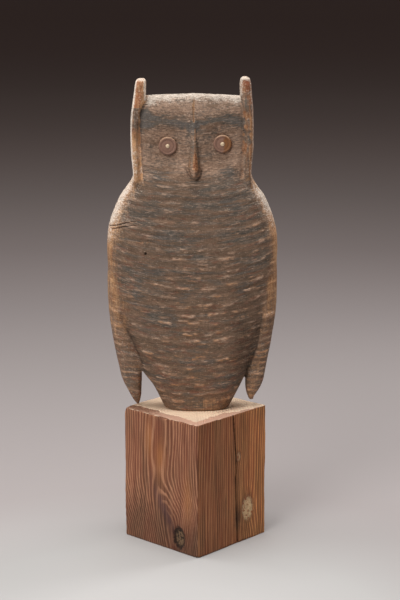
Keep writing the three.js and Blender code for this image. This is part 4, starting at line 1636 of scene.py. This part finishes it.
@dataclass
class Eyes:
    """The two turned discs and the nails that hold them; all in mm.

    Attributes:
        radius: The disc's radius.
        thick: The disc's thickness.
        gap: Left between a disc and the flat behind it.
        steps: Sides of a turned piece.
        head: Radius of the nail's head.
        dome: Height of the nail's head.
        shank: Radius of the nail.
        reach: The nail's length under its head.
    """

    radius: float = 12.5
    thick: float = 4.2
    gap: float = 0.3
    steps: int = 96
    head: float = 2.8
    dome: float = 1.7
    shank: float = 1.1
    reach: float = 21.5

    def build(self, seats: Sequence[tuple[float, float, float]]) -> dict[str, bpy.types.Object]:
        """Turns one disc and one nail, and copies each for the other eye.

        Args:
            seats: The middle of each eye's seat, left one first.

        Returns:
            The four pieces by name.
        """
        disc = self._turned("left_disc", self._disc_profile(), self.steps)
        nail = self._turned("left_nail", self._nail_profile(), self.steps // 2)
        pieces = {}
        for side in Side:
            for kind, first in (("disc", disc), ("nail", nail)):
                name = f"{side.value}_{kind}"
                piece = first
                if side is Side.RIGHT:
                    piece = bpy.data.objects.new(name, first.data.copy())
                    bpy.context.scene.collection.objects.link(piece)
                pieces[name] = piece
        for side, seat in zip(Side, seats):
            for kind, depth in (("disc", 0.0), ("nail", -self.thick + 0.8)):
                piece = pieces[f"{side.value}_{kind}"]
                self._wear(piece, kind, side)
                offset = np.array(seat) + (0.0, depth - self.gap, 0.0)
                set_points(piece, points_of(piece) + offset * MM)
                settle(piece)
                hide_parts(f"{side.value}_eye_{kind}")
        return pieces

    def dress(self, pieces: dict[str, bpy.types.Object], stain: EyeStain, metal: NailMetal) -> None:
        """Stains the discs and dulls the nails.

        Args:
            pieces: The four pieces by name.
            stain: The discs' finish.
            metal: The nails' finish.
        """
        stained, dulled = stain.make(), metal.make()
        for name, piece in pieces.items():
            disc = name.endswith("disc")
            put_on(piece, stained if disc else dulled)

    def _disc_profile(self) -> list[tuple[float, float]]:
        """Radius and depth from the back's middle round to the front's; the front is at -thick."""
        edge, face = self.radius, -self.thick
        rim = [
            (edge - 0.25 - 1.1 * (1 - math.cos(a)), face + 1.3 * (1 - math.sin(a)))
            for a in (math.radians(18 * i) for i in range(6))
        ]
        back = [(0.0, 0.0), (edge - 2, 0.0), (edge - 0.5, 0.0), (edge - 0.2, -0.4)]
        wall = [(edge - 0.05, -1.2), (edge - 0.08, -2.2)]
        # The face: how far in from the edge, and how deep
        steps = (
            (2.4, 0.06), (3.2, 0.22), (3.8, 0.52), (4.3, 0.6), (4.9, 0.5), (5.8, 0.36), (8.0, 0.32),
            (9.6, 0.5),
        )
        turned = [(edge - inset, face + deep) for inset, deep in steps]
        return [*back, *wall, *rim, *turned, (0.0, face + 0.6)]

    def _nail_profile(self) -> list[tuple[float, float]]:
        """Radius and depth from the point round to the head's middle; the head's underside is at 0."""
        dome = [
            (self.head * math.cos(a), -self.dome * (0.12 + 0.88 * math.sin(a)))
            for a in (math.radians(15 * i) for i in range(6))
        ]
        point = [(0.0, self.reach), (self.shank * 0.5, self.reach - 2.0), (self.shank, self.reach - 5.0)]
        neck = [(self.shank, 2.0), (self.shank, 0.0), (self.head - 0.1, 0.0)]
        return [*point, *neck, *dome, (0.0, -self.dome)]

    def _turned(self, name: str, profile: Sequence[tuple[float, float]], steps: int) -> bpy.types.Object:
        """Spins a profile about Y into a closed piece at the origin.

        Args:
            name: The piece's name.
            profile: Radius and depth of each point, mm; its ends lie on the axis.
            steps: How many sides the piece has.

        Returns:
            The piece.
        """
        release()
        bpy.ops.mesh.primitive_plane_add(size=MM, location=(0.0, 0.0, 0.0))
        piece = bpy.context.object
        piece.name = piece.data.name = name
        bpy.ops.object.mode_set(mode="EDIT")
        bpy.ops.mesh.select_mode(type="VERT")
        bpy.ops.mesh.select_all(action="SELECT")
        bpy.ops.mesh.merge(type="CENTER")
        (r, y), rest = profile[0], profile[1:]
        bpy.ops.transform.translate(value=(r * MM, y * MM, 0.0))
        for next_r, next_y in rest:
            move = {"value": ((next_r - r) * MM, (next_y - y) * MM, 0.0)}
            bpy.ops.mesh.extrude_region_move(TRANSFORM_OT_translate=move)
            r, y = next_r, next_y
        bpy.ops.mesh.select_all(action="SELECT")
        bpy.ops.mesh.spin(steps=steps, angle=math.tau, center=(0, 0, 0), axis=(0, 1, 0))
        close_up()
        return piece

    def _wear(self, piece: bpy.types.Object, kind: str, side: Side) -> None:
        """Takes the evenness off a turned piece, and notes where it is rubbed, with a painted highlight on a
        disc's upper rim, and where it is darker: in the groove, round the nail, and with painted shade on the
        lower rim.

        Args:
            piece: The disc or nail.
            kind: Which of the two it is.
            side: The eye that it belongs to.
        """
        seed = 57 if side is Side.RIGHT else 50
        points = points_of(piece) / MM
        out = np.hypot(points[:, 0], points[:, 2])
        if kind == "disc":
            shift = swell(points, 6.0, seed) * 0.16 + swell(points, 2.5, seed + 1) * 0.06
            outward = points * np.array([1.0, 0.0, 1.0]) / np.maximum(out, 0.5)[:, None]
            rim = ease(out, 9.5, 12.0)
            points = points - outward * (rim * (0.12 + shift * 0.7))[:, None]
            face = (points[:, 1] < -2.5) * np.where(out > 3.0, 1.0, 0.0)
            points[:, 1] += face * (shift + 0.1)
            high = 0.5 + 0.5 * points[:, 2] / self.radius
            ahead = points[:, 1] < -2.0
            # Painted highlight: only the upper half of the front rim counts as rubbed
            note(piece, "worn", ease(out, 9.8, 11.6) * ahead * ease(high, 0.5, 1.0))
            # Painted shade on the lower rim; the groove and a ring round the nail are darker too
            painted_shade_low_rim = ease(out, 9.5, 11.8) * ease(-high, -0.5, -0.1) * 0.9
            groove = bell(out - 8.2, 0.6) * (0.45 + 0.35 * swell(points, 5.0, seed + 2))
            note(piece, "dirt_and_painted_shade", np.clip((groove + painted_shade_low_rim) * ahead + 0.3 * bell(out - 2.9, 0.5), 0.0, 1.0))
            across = points[:, 0] + 2.0 * swell(points, 5.0, seed + 3)
            note(piece, "bare", ease(across, -4.0, 8.0) * (side is Side.RIGHT))
        else:
            points[:, 1] += 0.12 * swell(points, 1.6, seed) * (out < 2.6) * (points[:, 1] < 0.0)
        set_points(piece, points * MM)


@dataclass
class TimberBase:
    """The stub of old fir that the owl stands on; all in mm, in the timber's own frame.

    Attributes:
        side: Width of each side.
        height: From the floor to the sawn top.
        turn: Turn about the upright, in degrees.
        columns: Divisions of the mesh across a side.
        rows: Divisions from top to bottom.
        arris: How round a worn edge is.
        spread: How much wider it is from its left edge to its right one than across, as a share.
        crack: The drying crack down the right face, (along, up).
        crack_depth: How deep that crack is cut.
        grain: The timber's rings.
    """

    side: float = TIMBER_SIDE
    height: float = 190.5
    turn: float = TIMBER_TURN
    columns: int = 146
    rows: int = 62
    arris: float = 2.6
    spread: float = 0.011
    crack: tuple[tuple[float, float], ...] = (
        (0.6, 195), (1.6, 186), (4.6, 160), (7.4, 130), (8.2, 116), (7.6, 92), (8.6, 58), (10.4, 26),
        (11.2, -4),
    )
    crack_depth: float = 15.0
    grain: FirGrain = FirGrain()

    def build(self) -> bpy.types.Object:
        """Saws the timber and wears it.

        Returns:
            The finished piece, which stands for the solid one.
        """
        piece = self._saw()
        self._weather(piece)
        piece.rotation_euler.z = math.radians(self.turn)
        hold(piece)
        bpy.ops.object.transform_apply(location=True, rotation=True, scale=True)
        settle(piece)
        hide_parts("timber_base")
        return piece

    def dress(self, piece: bpy.types.Object, finish: OldFir) -> None:
        """Gives the timber its grain.

        Args:
            piece: The sawn timber.
            finish: Its finish.
        """
        put_on(piece, finish.make(self.grain))

    def _saw(self) -> bpy.types.Object:
        """A closed block: the sawn top is a grid, and its border is drawn down to the underside."""
        release()
        across, top = self.columns, (0.0, 0.0, self.height * MM)
        bpy.ops.mesh.primitive_grid_add(
            x_subdivisions=across, y_subdivisions=across, size=self.side * MM, location=top)
        piece = bpy.context.object
        piece.name = piece.data.name = "timber_block"
        bpy.ops.object.transform_apply(location=True)
        bpy.ops.object.mode_set(mode="EDIT")
        bpy.ops.mesh.select_mode(type="EDGE")
        bpy.ops.mesh.select_all(action="DESELECT")
        bpy.ops.mesh.select_non_manifold()
        levels = self._levels()
        for above, below in zip(levels, levels[1:]):
            move = {"value": (0.0, 0.0, (below - above) * MM)}
            bpy.ops.mesh.extrude_region_move(TRANSFORM_OT_translate=move)
        bpy.ops.mesh.edge_face_add()
        for _ in range(2):
            bpy.ops.mesh.inset(thickness=0.9 * MM)
        close_up()
        return piece

    def _torn(self, points: Array) -> Array:
        """Where the top is torn inside its front edges: 1 there, 0 on the sawn wood.

        Args:
            points: The timber's points, mm.

        Returns:
            The share for each point.
        """
        x, y, _ = points.T
        half = self.side / 2
        ragged = 2.6 * swell(points, (9.0, 9.0, 9.0), 73) + 1.3 * swell(points, (3.5, 3.5, 9.0), 74)
        left = 12.5 + 6.0 * bell(y - 36.0, 24.0) + ragged
        right = 14.0 * (1.0 - ease(x, -12.0, 48.0)) + 1.5 + ragged
        return np.maximum(
            1.0 - ease(x + half, left - 1.6, left + 1.6), 1.0 - ease(y + half, right - 1.6, right + 1.6))

    def _crack_at(self, z: Array) -> Array:
        """The crack's place along the right face at each height."""
        along, up = np.array(self.crack)[::-1].T
        return np.interp(z, up, along)

    def _levels(self) -> list[float]:
        """Heights of the rows, closer together at the worn edges."""
        near = [0.0, 0.7, 1.4, 2.2, 3.2, 4.6]
        count = self.rows - 2 * len(near)
        span = self.height - 2 * near[-1]
        middle = [near[-1] + span * i / count for i in range(1, count)]
        return [*(self.height - step for step in near), *reversed(middle), *reversed(near)]

    def _rounded(self, points: Array) -> tuple[Array, Array, Array]:
        """Gathers columns at the crack, and rounds the edges more in some places than in others.

        Args:
            points: The sawn block's points, mm.

        Returns:
            The new points, which way each one faces, and how splintered it is.
        """
        half = self.side / 2
        x, y, z = points.T.copy()
        aside = x - self._crack_at(z)
        x = x - 0.62 * aside * bell(aside, 7.0) * (1.0 - ease(y, -half, -half + 6.0))
        points = np.stack([x, y, z], 1)
        splinter = ease(z, self.height - 12.0, self.height - 1.0) * ease(-x, half - 12.0, half - 1.0)
        worn = self.arris + 0.9 * swell(points, (17.0, 17.0, 23.0), 61) + 0.6 * swell(points, 6.0, 62)
        worn += splinter * (1.6 + 2.2 * ease(swell(points, (8.0, 5.0, 60.0), 63), 0.0, 0.6))
        corner = np.minimum(1.0 - ease(half - np.abs(x), 3.0, 9.0), 1.0 - ease(half - np.abs(y), 3.0, 9.0))
        worn = np.maximum(worn, 4.15 * corner * (x * y > 0)) - 1.2 * corner * (x * y < 0)
        worn = np.clip(worn, 0.9, 6.0)[:, None]
        centre = np.array([0.0, 0.0, self.height / 2])
        limit = np.array([half, half, self.height / 2]) - worn
        core = np.clip(points - centre, -limit, limit)
        over = points - centre - core
        length = np.linalg.norm(over, axis=1, keepdims=True)
        largest = np.abs(over).max(axis=1, keepdims=True)
        edge = length > TINY
        length = np.maximum(length, TINY)
        points = centre + core + over * np.where(edge, largest / length, 1.0)
        return points, np.where(edge, over / length, 0.0), splinter

    def _weather(self, piece: bpy.types.Object) -> None:
        """Rounds the edges, opens the grain, cuts crack and knots, and notes them for the finish."""
        points, normal, splinter = self._rounded(points_of(piece) / MM)
        half = self.side / 2
        x, y, z = points.T
        left = ease(-x, half - 4.0, half - 1.0)
        right = ease(-y, half - 4.0, half - 1.0)
        wall = 1.0 - ease(np.abs(normal[:, 2]), 0.3, 0.8)
        top = ease(normal[:, 2], 0.4, 0.9)

        # Grain stands proud of the softer wood
        part = np.mod(self.grain.lines(x, y, z), 1.0)
        raised = ease(part, 0.35, 0.8) * (1.0 - ease(part, 0.88, 1.0))
        lift = wall * (0.34 * raised - 0.2) + wall * 0.35 * swell(points, (24.0, 24.0, 60.0), 64)
        lift += wall * 0.22 * swell(points, (6.0, 6.0, 30.0), 65) - 0.15
        off = np.abs(x - self._crack_at(z)) + 0.25 * swell(points, (9.0, 9.0, 7.0), 66)
        open_mm = 0.95 + 0.5 * bell(z - 92.0, 46.0) + 0.5 * bell(z - 166.0, 26.0)
        open_mm = open_mm + 0.2 * swell(points, (60.0, 60.0, 16.0), 71)
        split = right * wall * (1.0 - ease(off, 0.3, open_mm))
        lift -= self.crack_depth * split
        for knot in KNOTS:
            spread = knot.spread(x, y, z)
            near = knot.near(x, y) * wall * (left if knot.face is TimberFace.LEFT else right)
            lift -= near * knot.sunk * (1.0 - ease(spread, 0.55, 1.05))
            lift += near * 0.5 * bell(spread - 1.35, 0.3)
            lift -= near * knot.sunk * 0.9 * bell(spread - 0.92, 0.12)
        torn = top * self._torn(points)
        lift -= torn * (0.9 + 0.5 * swell(points, (5.0, 5.0, 9.0), 72))
        kerf = np.sin((x * 0.35 + y) * 1.05 + 1.5 * swell(points, 30.0, 67))
        lift += top * (0.05 * kerf + 0.1 * swell(points, 4.0, 68) - 0.2)

        moved = points + normal * lift[:, None]
        moved[:, :2] = np.clip(moved[:, :2], -half, half)
        moved[:, 2] = np.clip(np.where(z < 0.5, 0.0, moved[:, 2]), 0.0, self.height)
        moved[:, :2] += self.spread * (moved[:, :1] - moved[:, 1:2]) / 2.0 * np.array([1.0, -1.0])
        set_points(piece, moved * MM)

        front, corner = bell(y + half, 3.0), bell(x + half, 3.0)
        others = bell(half - x, 3.0) * front + corner * bell(half - y, 3.0)
        corner = corner * front * ease(-z, -60.0, -15.0)
        fray = swell(points, (22.0, 22.0, 3.0), 69) * 1.6 + swell(points, (9.0, 9.0, 1.6), 70) * 1.0
        depth = 0.8 + 1.4 * splinter
        below = z + 0.6 * fray - self.height + depth
        sawn = ease(below, -1.0, 1.0) * (z > self.height - 8.0)
        note(piece, "sawn", np.maximum(sawn, (z > self.height - 3.0) * ease(normal[:, 2], 0.6, 0.9)))
        note(piece, "torn", torn)
        note(piece, "worn", np.clip(0.3 * (corner + others * wall), 0.0, 1.0))
        dark = right * wall * (1.0 - ease(off, open_mm * 0.6, open_mm + 0.6))
        note(piece, "crack", dark * (0.75 + 0.25 * bell(z - 110.0, 70.0)))


@dataclass(frozen=True)
class Lamp:
    """A square soft lamp; metres.

    Attributes:
        name: The lamp's name.
        place: Where it hangs.
        aim: The point that it faces.
        size: Length of its side.
        power: Its power in watts.
        colour: The colour of its light.
    """

    name: str
    place: tuple[float, float, float]
    aim: tuple[float, float, float]
    size: float
    power: float
    colour: tuple[float, float, float] = (1.0, 0.985, 0.965)

    def hang(self) -> None:
        """Hangs the lamp and turns it to its aim."""
        light = bpy.data.lights.new(self.name, "AREA")
        light.shape, light.size, light.energy, light.color = "SQUARE", self.size, self.power, self.colour
        holder = bpy.data.objects.new(self.name, light)
        holder.location = self.place
        facing = Vector(self.aim) - Vector(self.place)
        holder.rotation_euler = facing.to_track_quat("-Z", "Y").to_euler()
        bpy.context.scene.collection.objects.link(holder)


@dataclass
class Studio:
    """Floor, lamps and camera; metres.

    Attributes:
        reach: The floor's radius.
        eye: The camera's place.
        pitch: The camera's tilt from straight down, in degrees.
        lens: Focal length, mm, for a sensor of 36 mm.
        lamps: The lamps that light the object.
    """

    reach: float = 140.0
    eye: tuple[float, float, float] = (0.0067, -2.0435, 0.7663)
    pitch: float = 78.28
    lens: float = 90.0
    lamps: tuple[Lamp, ...] = (
        Lamp("top_lamp", (-0.3, -0.2, 3.6), (0.0, 0.0, 0.2), 2.2, 108.0),
        Lamp("key_lamp", (-1.5, -2.2, 2.0), (0.0, 0.0, 0.35), 1.5, 37.0),
        Lamp("rim_lamp", (1.35, 0.75, 1.25), (0.0, 0.0, 0.25), 0.7, 10.0, (1.0, 0.99, 0.98)),
        Lamp("far_rim_lamp", (-1.5, 0.5, 0.8), (0.0, 0.0, 0.5), 0.6, 4.0, (1.0, 0.99, 0.98)),
    )

    def build(self, paper: StudioPaper) -> None:
        """Sets up the studio.

        Args:
            paper: The floor's finish.
        """
        self._lay_floor(paper)
        for lamp in self.lamps:
            lamp.hang()
        self._darken_surroundings()
        self._stand_camera()

    def _lay_floor(self, paper: StudioPaper) -> None:
        """One wide flat sheet under the object."""
        release()
        bpy.ops.mesh.primitive_circle_add(vertices=96, radius=self.reach, fill_type="NGON")
        floor = bpy.context.object
        floor.name = "studio_floor"
        bpy.ops.object.mode_set(mode="EDIT")
        for share in (0.9, 0.8, 0.7):
            bpy.ops.mesh.inset(thickness=self.reach * (1 - share))
        close_edit()
        floor.data.materials.append(paper.make())

    def _darken_surroundings(self) -> None:
        """A dim even light from all round, so that no shadow is black."""
        world = bpy.data.worlds.new("dim_room")
        world.use_nodes = True
        background = world.node_tree.nodes["Background"]
        background.inputs["Color"].default_value = (1.0, 0.9, 0.87, 1.0)
        background.inputs["Strength"].default_value = 0.05
        bpy.context.scene.world = world
        bpy.context.scene.view_settings.view_transform = "Standard"

    def _stand_camera(self) -> None:
        """The camera looks slightly down at the owl from the front."""
        data = bpy.data.cameras.new("camera")
        data.sensor_width, data.lens = 36.0, self.lens
        data.clip_end = 400.0
        camera = bpy.data.objects.new("camera", data)
        camera.location = self.eye
        camera.rotation_euler = (math.radians(self.pitch), 0.0, 0.0)
        bpy.context.scene.collection.objects.link(camera)
        bpy.context.scene.camera = camera


def main() -> None:
    """Builds and dresses the object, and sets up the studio."""
    logging.basicConfig(level=logging.INFO, format="%(name)s: %(message)s")
    Studio().build(StudioPaper())
    timber = TimberBase()
    timber.dress(timber.build(), OldFir())
    owl = OwlCarving()
    owl.dress(owl.build(), WornPaint())
    eyes = Eyes()
    eyes.dress(eyes.build(owl.eye_at), EyeStain(), NailMetal())


if __name__ == "__main__":
    main()
